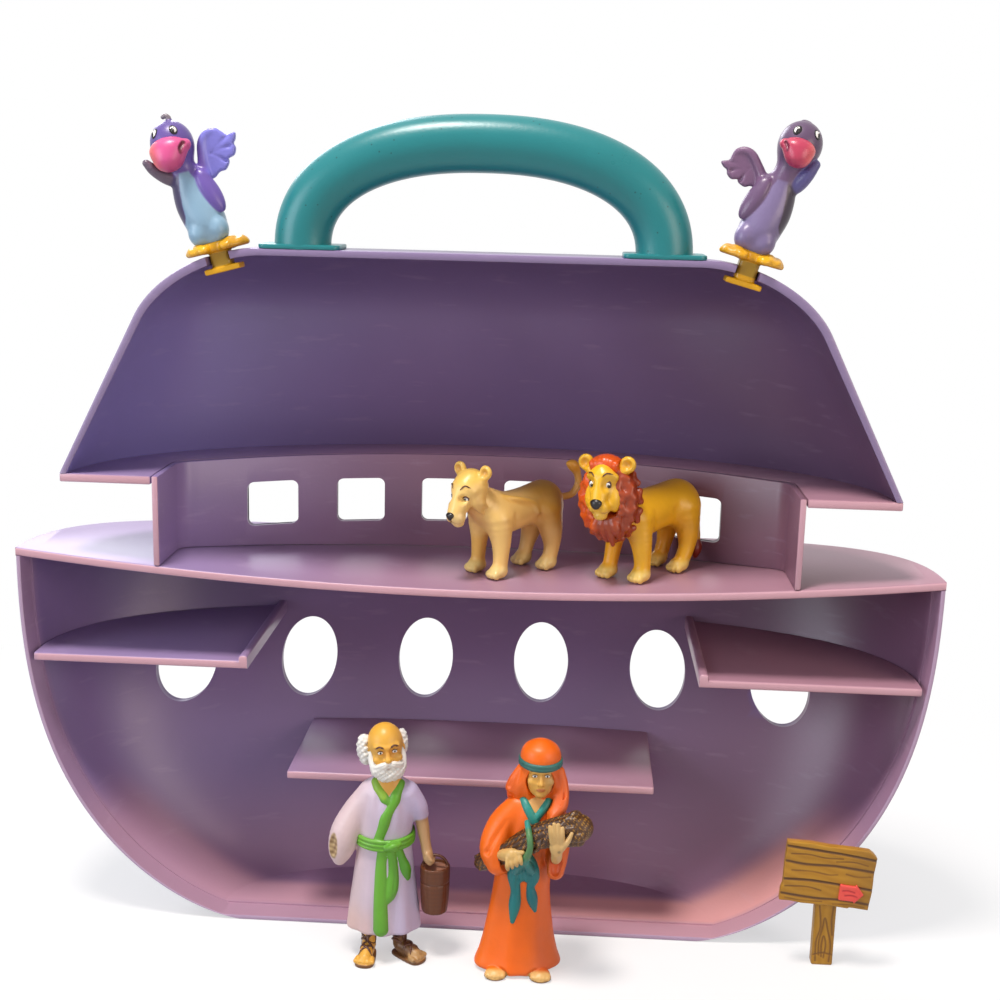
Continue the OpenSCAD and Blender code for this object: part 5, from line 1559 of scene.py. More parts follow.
def make_lioness():
    head = lioness_head()
    dress("lioness", GLOSSY,
          [("lioness_trunk", lioness_body(), lioness_color, LIONESS_AT, "lioness_tan", "lioness_body"),
           ("lioness_face", head, lioness_face, LIONESS_HEAD_AT, "lioness_tan", "lioness_head")])
    nose = Clay((7, -2.8, -9.4), (13, 2.8, -3.6), 0.25)
    nose.add(blob((10.5, 0, -6.5), (1.3, 1.7, 1.15)), blob((10.5, 0, -7.5), (0.9, 0.8, 0.9)), blend=0.5)
    parts = [animal_nose("lioness_nose", nose, (30, 24, 22))]
    for s in BOTH:
        parts += animal_eye(head, 2.9 * s, -0.9, width=2.3, height=1.6, pupil_up=-0.1, pupil_side=-0.2)
        parts.append(animal_line(head, [(1.7, -0.7), (2.9, 0.1), (4.2, -0.5)], s, 0.3))
        parts.append(animal_line(head, [(1.6, 2.4), (2.9, 3.9), (4.6, 3.2)], s, 0.26))
    place_all(parts, "lioness_details", "lioness", "lioness_tan", LIONESS_HEAD_AT)


make_lion()
make_lioness()


# Man in a belted robe, with a pail

MAN_AT = Matrix.Translation((-27, -17.5, 0))
MAN_HEAD = (Matrix.Translation((-0.8, -0.4, 74)) @ Matrix.Rotation(math.radians(13), 4, "Z")
            @ Matrix.Rotation(math.radians(-6), 4, "Y"))
MAN_SLEEVE = [(-6.2, 0, 61, 4.6), (-11.2, -0.6, 54.4, 4.8), (-14.8, -2, 47, 5.4), (-16.4, -2.8, 41, 4.6),
              (-17, -3, 37, 2.6)]
SLEEVE_MOUTH = ((-19.4, -7, 43.2), (1.5, 2.1, 6), axes_along((-0.66, -0.75, 0), (0.75, -0.66, 0)))
MAN_ARM = [(10.4, 0.3, 56, 2.2), (11.9, 0, 50, 2.3), (13.1, -0.8, 43.6, 1.9), (13.7, -1.2, 40.6, 1.9)]
PAIL_AT, PAIL_R, PAIL_DEPTH, BAIL_R = (16.8, -1, 17.6), 5.3, 17.4, 4.4
MAN_LAPEL = [(4.8, 66.2, 2), (3.6, 63.4, 2.2), (2, 59.8, 2.3), (-0.4, 53.4, 2.3), (-2.7, 46.6, 2.2)]
LEFT_LAPEL = [(-4.8, 66.6, 1.9), (-2.8, 64.2, 2), (-0.4, 61.4, 1.9), (1.6, 59.6, 1.7)]
MAN_TAILS = [[(-1.2, 43.6, 2.3), (-1.8, 36, 2.5), (-2, 24, 2.8), (-1.9, 13.4, 2.9)],
             [(1.8, 43.4, 1.9), (2.6, 36, 2.2), (2.5, 30, 2.6), (1.9, 26.4, 2.5), (0.9, 24, 1.7)],
             [(4.2, 43.6, 1.7), (5.6, 39, 1.9), (6.9, 34.8, 2.5), (7.6, 31.6, 1.8)]]
# Heel and toe of each foot, the thickness of the soles and the rounding of their edges
FEET = (((-6.4, -2.4), (-6.9, -9.8)), ((4.4, -1.4), (10.8, -5.8)))
SOLE_T, PAD_EDGE, STRAP_R = 1.3, 0.4, 0.42
GOLDEN_TURN = 2.39996
# What is cut off flat under the feet
GROUND_CUT = block((-24, -24, -3), (24, 20, 0), 0.05)
# Where a surface is looked for from: a body's front and how far, a face and the top of a foot
BODY_FROM, BODY_REACH, FACE_FROM, STRAP_FROM = -24, 26, -12, 14


def laid(clay, points, sink):
    """Band on the front of a clay surface, through points given as (x, z, radius) and sunk into it."""
    path = []
    for x, z, r in spline(points, 4):
        at, out = clay.touch((x, BODY_FROM, z), FROM_FRONT, BODY_REACH)
        path.append((*(at - out * sink), r))
    return limb(path, 1)


def pad(points, low, high):
    """Flat plate with an outline in X and Y."""
    p = np.array(points, float)

    def distance(x, y, z):
        return edged(outline_distance(x, y, p), np.abs(z - (low + high) / 2) - (high - low) / 2, PAD_EDGE)

    return (*p.min(0), low), (*p.max(0), high), distance


def curls(clay, at, radii, keep, count, size):
    """Small lumps spread evenly over the part of an ellipsoid for which keep(direction) holds."""
    for k in range(count):
        z = 1 - 2 * (k + 0.5) / count
        v, flat = k * GOLDEN_TURN, math.sqrt(1 - z * z)
        way = np.array((flat * math.cos(v), flat * math.sin(v), z))
        if keep(way):
            r = size * (1 + 0.22 * math.sin(5.3 * k))
            clay.add(blob(np.array(at) + way * radii, (r, r, 0.8 * r)), blend=0.35)


def man_folds(angle, z):
    low = np.clip((44 - z) / 34, 0, 1)
    high = np.clip((z - 47) / 12, 0, 1) * np.clip((66 - z) / 5, 0, 1)
    return (0.45 * low * (np.cos(9 * angle + 0.6) + 0.5 * np.cos(5 * angle + 2))
            + 0.22 * high * np.cos(11 * angle + 0.08 * z))


def man_robe():
    clay = Clay((-24, -14, 9), (19, 12.5, 70), 0.4)
    clay.add(drape([(10.6, -1.4, 0, 13.1, 9.8), (20, -1.4, 0, 12.2, 9.2), (34, -1.4, 0, 10.5, 8.2),
                    (45, -1.35, 0, 9.5, 7.5), (55, -1, 0, 10.2, 7.6), (62, -0.7, 0.2, 9.6, 6.8),
                    (66, -0.6, 0, 6.4, 5), (68.6, -0.6, -0.4, 4, 3.8)],
                   man_folds, edge=1.4))
    clay.add(limb(MAN_SLEEVE), blend=1.6)
    clay.carve(blob(*SLEEVE_MOUTH), blend=0.5)
    # short sleeve, bare arm and the hand over the pail's bail
    clay.add(limb([(6.2, 0, 61.2, 4.6), (9.4, 0.3, 56.6, 4), (11, 0.3, 53.6, 3)]), blend=1.6)
    clay.add(limb(MAN_ARM), blend=0.3)
    clay.add(blob((14.3, -1.8, 38.4), (1.9, 2.4, 2.5)), blend=1)
    for k in range(4):
        y = -3.4 + 1.25 * k
        clay.add(limb([(13.6, y, 38.6, 0.8), (15, y - 0.2, 36.6, 0.75), (16.2, y, 37.4, 0.65)]), blend=0.35)
    clay.add(limb([(14, -3.4, 39.8, 0.9), (15.6, -4, 38, 0.7)]), blend=0.5)
    return clay


def man_robe_color(p):
    x, y, z = p.T
    arm = within(limb([(11.2, 0.2, 52.6, 2.6), (11.9, 0, 50, 2.7), (13.1, -0.8, 43.6, 2.5),
                       (14.4, -1.6, 38, 4)]), p, 0.3)
    arm = arm * ramp(53 - z, -0.2, 0.2) * ramp(x - 9.4, 0, 0.4)
    mouth = within(blob(SLEEVE_MOUTH[0], np.array(SLEEVE_MOUTH[1]) + 0.35, SLEEVE_MOUTH[2]), p, 0.3)
    worn = 0.5 + 0.5 * np.sin(2.3 * z + 1.7 * y) * np.sin(1.9 * y - 1.1 * z)
    scratch = limb([(7.9, -7, 58.7, 0.35), (6, -8, 55.6, 0.5), (3.8, -8.6, 53.4, 0.3)])
    scratch = within(scratch, p, 1.1) * ramp(-y, 4, 5)
    chest = ramp(z - 62.4 - 1.1 * np.abs(x - 0.6), -0.2, 0.2) * ramp(-y, 1, 2)
    # warmer and pinker on the left and low on the left as painted warm light, bluer on the right as painted
    # cool light
    return coats(p, (204, 190, 212), (0.8 * ramp(-x, 0, 14), (220, 194, 190)),
                 (0.8 * ramp(x, 0, 12), (186, 178, 216)),
                 (0.4 * ramp(24 - z, 0, 10) * ramp(-x, 0, 8), (222, 178, 160)),
                 (0.5 * scratch, (150, 90, 60)), (arm, (186, 148, 104)), (chest, (222, 166, 76)),
                 (mouth, (206, 178, 130)), (mouth * worn, (112, 82, 48)))


def man_head():
    clay = Clay((-9, -10, -7.5), (9, 8.5, 14.5), 0.3)
    clay.add(blob((0, 0.3, 6.2), (6.2, 6.7, 6.9)), blob((0, -1.5, 1), (5.1, 5, 6)), blend=1.5)
    clay.add(limb([(0, 0.6, 0, 3.6), (0, 0.8, -6.5, 3.6)]), blend=1)
    clay.add(limb([(-3.9, -5, 6.7, 0.8), (0, -6.4, 6.3, 0.7), (3.9, -5, 6.7, 0.8)]), blend=1.2)
    for s in (-1, 1):
        clay.carve(blob((2.5 * s, -7.3, 4.9), (1.6, 1.3, 1.2)), blend=1)
        clay.add(blob((3.3 * s, -4.5, 1.9), (1.9, 1.5, 1.6)), blend=1)
        clay.add(blob((6.2 * s, 0.6, 4.2), (0.9, 1.5, 2.2)), blend=0.5)
        clay.carve(blob((7.1 * s, 0.1, 4.3), (0.7, 0.7, 1.3)), blend=0.4)
        clay.add(blob((2.5 * s, -5.6, 4.9), (1.3, 0.8, 0.95)), blend=0.25)
    clay.add(limb([(0, -6.2, 6, 0.6), (0, -7, 3.8, 0.85), (0, -7.6, 2.4, 1.15)]), blend=0.7)
    clay.add(blob((-1, -6.6, 2), (0.8, 0.8, 0.7)), blob((1, -6.6, 2), (0.8, 0.8, 0.7)), blend=0.5)
    return clay


def man_head_color(p):
    x, _, z = p.T
    # lighter on the top of the head and on the nose as painted highlights, darker on the right as painted
    # shade
    return coats(p, (228, 172, 66), (0.5 * ramp(z, 8, 13), (236, 176, 56)),
                 (0.55 * ramp(x, 0, 6), (206, 158, 84)),
                 (0.5 * within(blob((0, -7, 5), (5, 2, 1.6)), p, 0.8), (206, 138, 48)),
                 (0.4 * within(blob((0, -7.4, 2.4), (1.6, 1.5, 1.6)), p, 0.6), (240, 190, 90)))


def man_beard():
    clay = Clay((-12, -11.5, -9), (9.5, 9.5, 11), 0.32)
    chin = (0, -2.7, -2)
    clay.add(blob(chin, (5.3, 4.6, 4.3)))
    curls(clay, chin, (5.6, 4.9, 4.7), lambda w: w[1] < 0.35 and w[2] < 0.42 + 0.45 * abs(w[0]), 190, 0.82)
    for s in (-1, 1):
        clay.add(limb([(5.1 * s, -1.6, 4, 0.8), (5.4 * s, -2, 1.4, 1.3), (4.8 * s, -3.6, -1.4, 1.6)]),
                 blend=0.5)
        clay.add(limb([(0.2 * s, -7.4, 1, 0.8), (1.9 * s, -7.3, 0.6, 1.15), (3.9 * s, -6, -0.4, 0.95),
                       (5 * s, -4.6, -0.2, 0.5)]), blend=0.3)
        clay.carve(limb([(0.6 * s, -8.4, 1.4, 0.14), (2.4 * s, -8.1, 0.5, 0.16),
                         (4.2 * s, -6.8, -0.6, 0.12)]), blend=0.3)
    clay.carve(limb([(-1.6, -8.3, -0.9, 0.25), (0, -8.5, -0.6, 0.35), (1.6, -8.3, -0.9, 0.25)]), blend=0.4)
    # hair round the back and in tufts over the ears, the left one fuller
    back = (0, 0.6, 4)
    clay.add(blob((0, 2.4, 3.4), (6.1, 5.2, 4.6)))
    curls(clay, back, (6.2, 6.7, 5.4), lambda w: w[1] > -0.1 and -0.8 < w[2] < 0.72, 230, 1.1)
    clay.add(limb([(-6.2, 1.2, 8, 1.4), (-8, 1.2, 5.6, 1.7), (-8.2, 1.6, 2.4, 1.6), (-6.6, 1.6, -0.6, 1.3)]),
             blend=0.6)
    curls(clay, (-7.4, 1.4, 4), (1.9, 2, 5.2), lambda w: w[0] < 0.5, 60, 0.85)
    clay.add(limb([(5.6, 1.6, 8.4, 1.2), (6.6, 1.8, 6, 1.3), (6.4, 2, 2, 1.2)]), blend=0.6)
    curls(clay, (6.2, 1.8, 5.2), (1.4, 1.6, 4), lambda w: w[0] > -0.4, 44, 0.75)
    return clay


def man_beard_color(p):
    x, _, z = p.T
    mouth = limb([(-1.6, -8.2, -0.9, 0.3), (0, -8.4, -0.6, 0.45), (1.6, -8.2, -0.9, 0.3)])
    # greyer on the right and low down as painted shade in the curls
    return coats(p, (236, 234, 226), (0.5 * ramp(x, 0, 7), (206, 212, 214)),
                 (0.35 * ramp(-4 - z, 0, 4), (200, 206, 208)), (within(mouth, p, 0.2), (150, 132, 120)))


def man_sash(robe):
    clay = Clay((-15, -16, 9), (13, 11.5, 70), 0.35)
    clay.add(laid(robe, LEFT_LAPEL, 1.3))
    clay.add(laid(robe, MAN_LAPEL, 1.5), blend=0.2)
    for high, wire in ((46.9, 0.72), (45.5, 0.8), (44.1, 0.75)):
        clay.add(hoop((-1.35, 0, high), 10.1, 8.3, wire, (0.01, 0.1)), blend=0.12)
    for tail, sink in zip(MAN_TAILS, (1.7, 1.3, 1.2)):
        clay.add(laid(robe, tail, sink), blend=0.15)
    clay.carve(laid(robe, [(-0.4, 43, 0.15), (-1.2, 34, 0.25), (-1.4, 20, 0.25)], -1.25), blend=0.5)
    clay.carve(laid(robe, [(2.3, 42, 0.15), (3.2, 35, 0.25), (2.6, 28, 0.2)], -1.25), blend=0.5)
    clay.add(blob((2.8, -8.9, 44.9), (2.1, 1.6, 1.8)), blend=0.4)
    clay.add(limb([(0.6, -8.6, 44.2, 1.2), (2.6, -9.9, 45.4, 1.1), (4.8, -8.2, 45.6, 1)]), blend=0.3)
    return clay


def man_sash_color(p):
    x, _, z = p.T
    pale = within(limb([(-4.8, -5, 66.6, 2.4), (-2.8, -6.4, 64.4, 2.3), (-1.2, -7, 62.6, 1.2)]), p, 0.4)
    # lighter on the left as painted light, darker low on the right as painted shade
    return coats(p, (98, 166, 44), (0.9 * pale, (140, 178, 52)),
                 (0.5 * ramp(x, -1, 8) * ramp(46 - z, 0, 6), (64, 140, 40)),
                 (0.35 * ramp(-x, 0, 10), (124, 176, 66)), (0.25 * ramp(20 - z, 0, 8), (70, 140, 36)))


def man_foot(heel, toe):
    """Forms of a bare foot on a sole, and its directions ahead and to the side."""
    heel, toe = np.array(heel), np.array(toe)
    run = (toe - heel) / np.linalg.norm(toe - heel)
    side = np.array((-run[1], run[0]))
    sole = [heel - 2.4 * run + 1.4 * side, heel + 2.7 * side, toe + 3.5 * side, toe + 2.7 * run + 2.5 * side,
            toe + 3.4 * run, toe + 2.6 * run - 2.5 * side, toe - 3.5 * side, heel - 2.7 * side,
            heel - 2.4 * run - 1.4 * side]
    forms = [pad(spline(sole, 4, closed=True), 0, SOLE_T)]
    middle = (heel + toe) / 2
    forms.append(limb([(*heel, 12, 2.4), (*heel, 7, 2.4), (*(heel + 0.5 * run), 4, 2.5), (*middle, 3.4, 2.5),
                       (*toe, 2.2, 2.2)]))
    for k in range(5):
        across = 1.25 * (k - 2)
        root = toe - 0.4 * run + across * side
        tip = toe + (2 - 0.12 * (k - 2) ** 2) * run + 1.2 * across * side
        forms.append(limb([(*root, 2.2, 0.9), (*tip, 1.9, 0.85)], 1))
    return forms, run, side


def man_feet():
    """Both feet, and the straps of their sandals."""
    clay = Clay((-12, -15, -0.4), (16, 3, 12.4), 0.3)
    straps = []
    for heel, toe in FEET:
        forms, run, side = man_foot(heel, toe)
        clay.add(forms[0]).add(*forms[1:], blend=0.5)
        straps.append((np.array(heel), np.array(toe), run, side))
    clay.carve(GROUND_CUT, blend=0.05)
    lines = []
    for heel, toe, run, side in straps:
        for start, end in ((0.1, 0.62), (0.45, 0.95)):
            for s in (-1, 1):
                a = heel + start * (toe - heel) + 2.5 * s * side
                b = heel + end * (toe - heel) - 2.5 * s * side
                path = [(*spot, STRAP_FROM) for spot in (a, (a + b) / 2, b)]
                lines.append(stroke("strap", clay, path, FROM_TOP, STRAP_R))
        for high in (6, 8.6, 11):
            ring = [Vector((*(heel + 2.55 * np.array((math.cos(v), math.sin(v)))),
                            high + 0.9 * math.sin(2 * v + high)))
                    for v in np.linspace(0, 2 * math.pi, 19)]
            lines.append(tube("strap", ring, STRAP_R))
    return clay, lines


def man_feet_color(p):
    x, _, z = p.T
    right = ramp(x, 0, 1)
    toes = within(limb([(8.8, -8.6, 2, 2.2), (13, -4.8, 2, 2.2), (11.8, -7.6, 3, 2.6)]), p, 0.5)
    return coats(p, (228, 172, 70), (right, (108, 72, 36)), (right * toes, (176, 138, 88)),
                 (ramp(SOLE_T - z, -0.2, 0.2), (106, 66, 28)))


def man_pail():
    clay = Clay((10.5, -7.5, 16.6), (23.5, 5.5, 40.2), 0.3)
    x, y, z = PAIL_AT
    top = z + PAIL_DEPTH
    clay.add(drape([(z, x, y, 4.5, 4.5), (z + 4, x, y, 4.9, 4.9), (z + 10, x, y, 5.2, 5.2),
                    (top, x, y, PAIL_R, PAIL_R)],
                   lambda angle, high: -0.16 * np.maximum(0, np.cos(9 * angle)) ** 6, edge=0.5))
    clay.carve(drape([(top - 1.2, x, y, 4.2, 4.2), (top - 0.5, x, y, 4.3, 4.3), (top + 1, x, y, 4.4, 4.4)],
                     edge=0.3), blend=0.2)
    for high in (z + 2.4, z + 11.6):
        clay.carve(hoop((x, y, high), 5.25, 5.25, 0.3), blend=0.3)
    arc = [(x + BAIL_R * math.cos(v), y, top - 0.6 + BAIL_R * math.sin(v), 0.55)
           for v in np.radians(np.arange(-8, 190, 14))]
    clay.add(limb(arc, 1), blend=0.3)
    return clay


def man_pail_color(p):
    x, y, z = p.T
    top = PAIL_AT[2] + PAIL_DEPTH
    inner = (ramp(BAIL_R - np.hypot(x - PAIL_AT[0], y - PAIL_AT[1]), 0, 0.3) * ramp(z - top + 1.6, 0, 0.3)
             * ramp(top + 0.3 - z, 0, 0.3))
    return coats(p, (94, 47, 12), (0.5 * ramp(x - PAIL_AT[0], 0, 5), (66, 30, 8)),
                 (0.4 * np.sin(2 * z) ** 8, (76, 36, 8)),
                 (0.9 * inner, (156, 112, 92)), (ramp(z - top, 0, 0.6) * 0.5, (70, 36, 18)))


def calm_face(clay, apart, level, white, pupil, lid, brow):
    """Calm eyes and brows on a head that looks along -Y.

    apart and level place the eyes. white is their width and height, and pupil its shift, width and height.
    lid is a line's half length, its height above the eye at its ends and middle, and its radius. brow is the
    same, with a length towards the nose and one towards the temple.
    """
    marks = []
    for s in (-1, 1):
        at = apart * s
        layers = [(0, 0, *white, 0.12, EYE_WHITE), (pupil[0], 0, *pupil[1:], 0.28, EYE_BLACK)]
        marks += eye(clay, (at, FACE_FROM, level), FROM_FRONT, layers)
        for inner, outer, low, high, radius in ((lid[0], *lid), brow):
            ends = ((at - inner * s, low), (at, high), (at + outer * s, low))
            path = [(x, FACE_FROM, level + z) for x, z in ends]
            marks.append(stroke("line", clay, path, FROM_FRONT, radius))
    return marks


def make_man():
    robe, head, head_at = man_robe(), man_head(), MAN_AT @ MAN_HEAD
    feet, straps = man_feet()
    dress("man", SATIN, [("man_gown", robe, man_robe_color, MAN_AT, "robe_lilac", "man_robe"),
                         ("man_bare_head", head, man_head_color, head_at, "skin_ochre", "man_head"),
                         ("man_curls", man_beard(), man_beard_color, head_at, "beard_white", "man_beard"),
                         ("man_belt", man_sash(robe), man_sash_color, MAN_AT, "sash_green", "man_sash"),
                         ("man_feet", feet, man_feet_color, MAN_AT, "brown_paint", "man_sandals"),
                         ("man_pail", man_pail(), man_pail_color, MAN_AT, "brown_paint", "man_bucket")])
    face = calm_face(head, apart=2.5, level=4.9, white=(1.7, 0.95), pupil=(0.1, 0.85, 0.9),
                     lid=(1.1, 0.2, 0.65, 0.16), brow=(1.5, 1.6, 1.6, 2.2, 0.34))
    place_all(face, "man_eyes", "man", "skin_ochre", head_at)
    place_all(straps, "man_straps", "man", "brown_paint", MAN_AT)


make_man()


# Woman in a robe and a head cloth, with a bundle of sticks

WOMAN_AT = Matrix.Translation((20, -21, 0))
WOMAN_HEAD = Matrix.Translation((6, -0.6, 68)) @ Matrix.Rotation(math.radians(4), 4, "Z")
BUNDLE = [(-13.8, -1.4, 38.5, 3), (-4, -8.2, 46.5, 3.7), (6, -12.5, 54.6, 4.4), (20, -12.5, 58.5, 6)]
STICKS, KNOTS = 9, 150
WOMAN_LEFT = [(-1.6, 0, 59.6, 4.5), (-6.4, -1.6, 53.4, 5.3), (-8.6, -4, 46, 5.7), (-7.4, -6.4, 41.4, 4.4)]
WOMAN_RIGHT = [(10.8, 0, 58.8, 4.2), (13, -2.8, 51.6, 4.2), (12.8, -6, 45, 3.8), (12.4, -8, 40, 3)]
CUFFS = [((-4.2, -9.6, 43.6), (2.6, 2.2, 4.2)), ((12.4, -10.6, 44.6), (2.5, 2.3, 5.4))]
SLEEVE_FOLDS = [((-5, -6.4, 57), (-9.6, -8.6, 50)), ((-8.4, -9, 52), (-11.4, -9, 46)),
                ((-2, -7.6, 55), (-5.4, -9.8, 48))]
WOMAN_FEET_X = (-7.4, 8.4)
LEFT_PALM, RIGHT_PALM = (-2.4, -14, 47.6), (12.6, -18, 53.6)
# Rings of the head cloth, the two tails of the tie and the grooves in them
VEIL = [(59, 5.6, 3.4, 9, 4.2), (63, 5, 2.8, 10.2, 5.8), (67.4, 5.3, 1.8, 9.4, 7.1), (72, 5.9, 0.8, 7.8, 7.7),
        (76.6, 6, 0.4, 7, 7.3), (79.6, 5.95, 0.2, 7, 7.2), (82.6, 5.9, 0, 5.6, 5.8), (84.9, 5.9, 0, 1.9, 2)]
TIE_TAILS = [[(1.2, 45.6, 2), (-1, 41.6, 2.8), (-2, 37.4, 2.4), (-1.2, 32, 1.8), (-1.4, 26.6, 2.1),
              (-2, 20.6, 0.9)],
             [(1.8, 45.6, 2), (3.6, 41.6, 2.6), (4.8, 37, 2.3), (4, 33.4, 1.5), (4.7, 29, 2),
              (5.8, 24.4, 0.8)]]
TIE_GROOVES = [[(0.6, 42.6, 0.2), (-0.6, 37, 0.35), (-0.9, 31, 0.25)], [(-2, 40.4, 0.2), (-2.8, 36.6, 0.3)],
               [(3, 42, 0.2), (4, 37, 0.35), (4.2, 32.6, 0.25)],
               [(1.8, 44, 0.3), (1.6, 38, 0.6), (1.6, 34.4, 0.9)]]


def woman_folds(angle, z):
    low = np.clip((38 - z) / 36, 0, 1)
    return 0.5 * low * (np.cos(7 * angle + 0.4) + 0.6 * np.cos(4 * angle - 1))


def woman_robe():
    clay = Clay((-18, -15, -0.4), (20, 13.5, 67), 0.4)
    clay.add(drape([(0.6, -0.4, 0, 14.4, 11.2), (2.4, -0.4, 0, 15, 11.6), (7, -0.3, 0, 13.5, 10.5),
                    (16, -0.1, 0, 11.7, 9.2), (31, 0.6, 0, 9.9, 8), (44, 2, 0, 10.1, 7.7),
                    (55, 3.6, 0.2, 10.1, 7.2), (61, 4.8, 0.3, 8.4, 6),
                    (65.4, 5.6, 0.4, 4.2, 4)], woman_folds, edge=1.6))
    clay.add(limb(WOMAN_LEFT), limb(WOMAN_RIGHT), blend=1.4)
    for start, end in SLEEVE_FOLDS:
        clay.carve(limb([(*start, 0.3), (*end, 0.7)], 1), blend=1.2)
    clay.carve(*(blob(*cuff) for cuff in CUFFS), blend=0.5)
    for x in WOMAN_FEET_X:
        clay.carve(blob((x, -11.6, 1.6), (4.4, 2.6, 2.4)), blend=0.8)
        clay.add(blob((x, -9.6, 1.6), (3.4, 3.4, 1.8)), blend=0.3)
        for k in range(5):
            toe = x + 1.35 * (k - 2)
            clay.add(limb([(toe, -10.6, 1.7, 0.95), (toe, -12.6 + 0.14 * (k - 2) ** 2, 1.4, 0.85)], 1),
                     blend=0.25)
        clay.add(blob((x, -9.8, 0.5), (4, 3.9, 0.7)), blend=0.2)
    clay.carve(GROUND_CUT, blend=0.05)
    return clay


def woman_robe_color(p):
    x, y, z = p.T
    toes = sum(within(blob((s, -11, 1.2), (4.6, 3, 2.1)), p, 0.35) for s in WOMAN_FEET_X) * ramp(-y, 8.4, 9.6)
    cuff = sum(within(blob(at, np.array(radii) + 0.3), p, 0.3) for at, radii in CUFFS)
    chest = ramp(z - 58.8 - 1.25 * np.abs(x - 5), -0.2, 0.2) * ramp(-y, 1.5, 2.5)
    # darker and pinker on the right, most low on the right, as painted shade; brighter orange on the left as
    # painted light
    return coats(p, (243, 106, 6), (0.75 * ramp(x, 0, 11), (220, 100, 36)),
                 (0.4 * ramp(-x, 4, 14), (246, 114, 4)),
                 (0.5 * ramp(12 - z, 0, 8) * ramp(x, -4, 6), (220, 104, 50)), (0.7 * cuff, (214, 84, 22)),
                 (chest, (220, 166, 96)), (toes, (226, 182, 110)),
                 (toes * ramp(0.8 - z, 0, 0.3), (96, 62, 30)))


def woman_head():
    """Face in the head's frame, with the chin near z = -2 and the crown at z = 14."""
    clay = Clay((-7.5, -9.5, -5.5), (7.5, 7.5, 14.5), 0.28)
    clay.add(blob((0, 0.4, 7), (5.9, 6.4, 6.6)), blob((0, -1.9, 2.2), (4.5, 4.4, 5.2)), blend=1.6)
    clay.add(limb([(0, 0.4, 1, 3), (-0.2, 0.8, -5, 3.1)]), blend=1)
    clay.add(blob((0, -4.6, -1.2), (1.7, 1.5, 1.3)), blend=1.2)
    clay.add(limb([(-3.6, -4.7, 7.6, 0.6), (0, -6, 7.2, 0.5), (3.6, -4.7, 7.6, 0.6)]), blend=1.2)
    for s in (-1, 1):
        clay.carve(blob((2.15 * s, -6.9, 5.9), (1.5, 1.1, 1)), blend=0.9)
        clay.add(blob((2.9 * s, -4.4, 3.4), (1.6, 1.2, 1.5)), blend=1)
        clay.add(blob((2.15 * s, -5.2, 5.9), (1.2, 0.75, 0.85)), blend=0.25)
    clay.add(limb([(0, -5.8, 6.6, 0.5), (0, -6.5, 4.6, 0.65), (0, -6.9, 3.3, 0.85)]), blend=0.6)
    clay.add(blob((-0.7, -6.1, 3), (0.6, 0.6, 0.5)), blob((0.7, -6.1, 3), (0.6, 0.6, 0.5)), blend=0.4)
    clay.add(blob((0, -5.9, 1.3), (1.5, 0.6, 0.4)), blob((0, -5.8, 0.6), (1.2, 0.6, 0.45)), blend=0.25)
    return clay


def woman_head_color(p):
    x, _, z = p.T
    lips = within(blob((0, -6, 0.95), (1.6, 0.9, 0.75)), p, 0.15)
    return coats(p, (226, 172, 78), (0.6 * ramp(x, -0.5, 3.5), (206, 170, 118)),
                 (0.4 * ramp(-z, -1, 3), (206, 150, 84)),
                 (0.35 * within(blob((0, -6.4, 5.9), (4, 1.6, 1.2)), p, 0.6), (196, 142, 70)),
                 (0.6 * lips, (188, 96, 70)))


def veil_folds(angle, z):
    low = np.clip((75 - z) / 10, 0, 1)
    return 0.45 * low * np.cos(10 * angle + 0.5)


def woman_veil():
    clay = Clay((-8, -12, 56), (19, 11, 85.6), 0.36)
    clay.add(drape(VEIL, veil_folds))
    # left side falls short over the shoulder, right side runs down across the chest
    clay.add(limb([(-1, -0.8, 74, 1.5), (-2.6, -0.6, 70, 2.2), (-3.6, -0.2, 67, 2.4)]), blend=1.2)
    clay.add(limb([(13, -1, 74, 1.4), (14, -1.6, 68, 2), (13.6, -4.4, 62.4, 2.2), (10.4, -7.2, 59, 2),
                   (7.4, -7.8, 57.6, 1.2)]), blend=1.2)
    clay.add(limb([(12.4, -2.6, 66, 1.4), (11.6, -5, 62, 1.6), (8.6, -7, 59.4, 1.2)]), blend=0.6)
    clay.carve(limb([(6, -9.4, 73.4, 4.6), (6, -9.4, 68.8, 5.4), (5.6, -9, 64.6, 5)]), blend=0.6)
    clay.carve(blob((6, -4.6, 71), (4.7, 5, 6.2)), blend=0.5)
    clay.carve(limb([(4.4, -9.6, 64, 6), (2.4, -10, 56, 7)]), blend=0.8)
    for points in ([(14.6, -3.4, 70, 0.2), (14.4, -4.2, 65.6, 0.4), (12.8, -6.6, 61.4, 0.3)],
                   [(-3, -2.6, 73, 0.2), (-4.6, -2.4, 68, 0.4)]):
        clay.carve(limb(points), blend=0.7)
    return clay


def woman_veil_color(p):
    x, y, z = p.T
    # darker and pinker on the right as painted shade
    return coats(p, (244, 108, 8), (0.8 * ramp(x, 6, 14) * ramp(78 - z, 0, 6), (212, 94, 52)),
                 (0.45 * ramp(x, 5, 12), (230, 104, 28)),
                 (0.4 * ramp(-x, -1, 5), (226, 92, 40)), (0.3 * ramp(y, 2, 8), (214, 92, 30)))


def woman_band():
    clay = Clay((-3.5, -10, 74), (15.5, 10, 80.5), 0.3)
    for high in (76.6, 77.8):
        clay.add(hoop((5.95, 0.2, high), 6.9, 7.1, 0.78, (-0.03, 0.05)), blend=0.25)
    return clay


def woman_band_color(p):
    x, _, z = p.T
    return coats(p, (46, 104, 96), (0.5 * ramp(x, 4, 13), (60, 122, 116)),
                 (0.4 * ramp(77.2 - z, 0, 1), (34, 84, 80)))


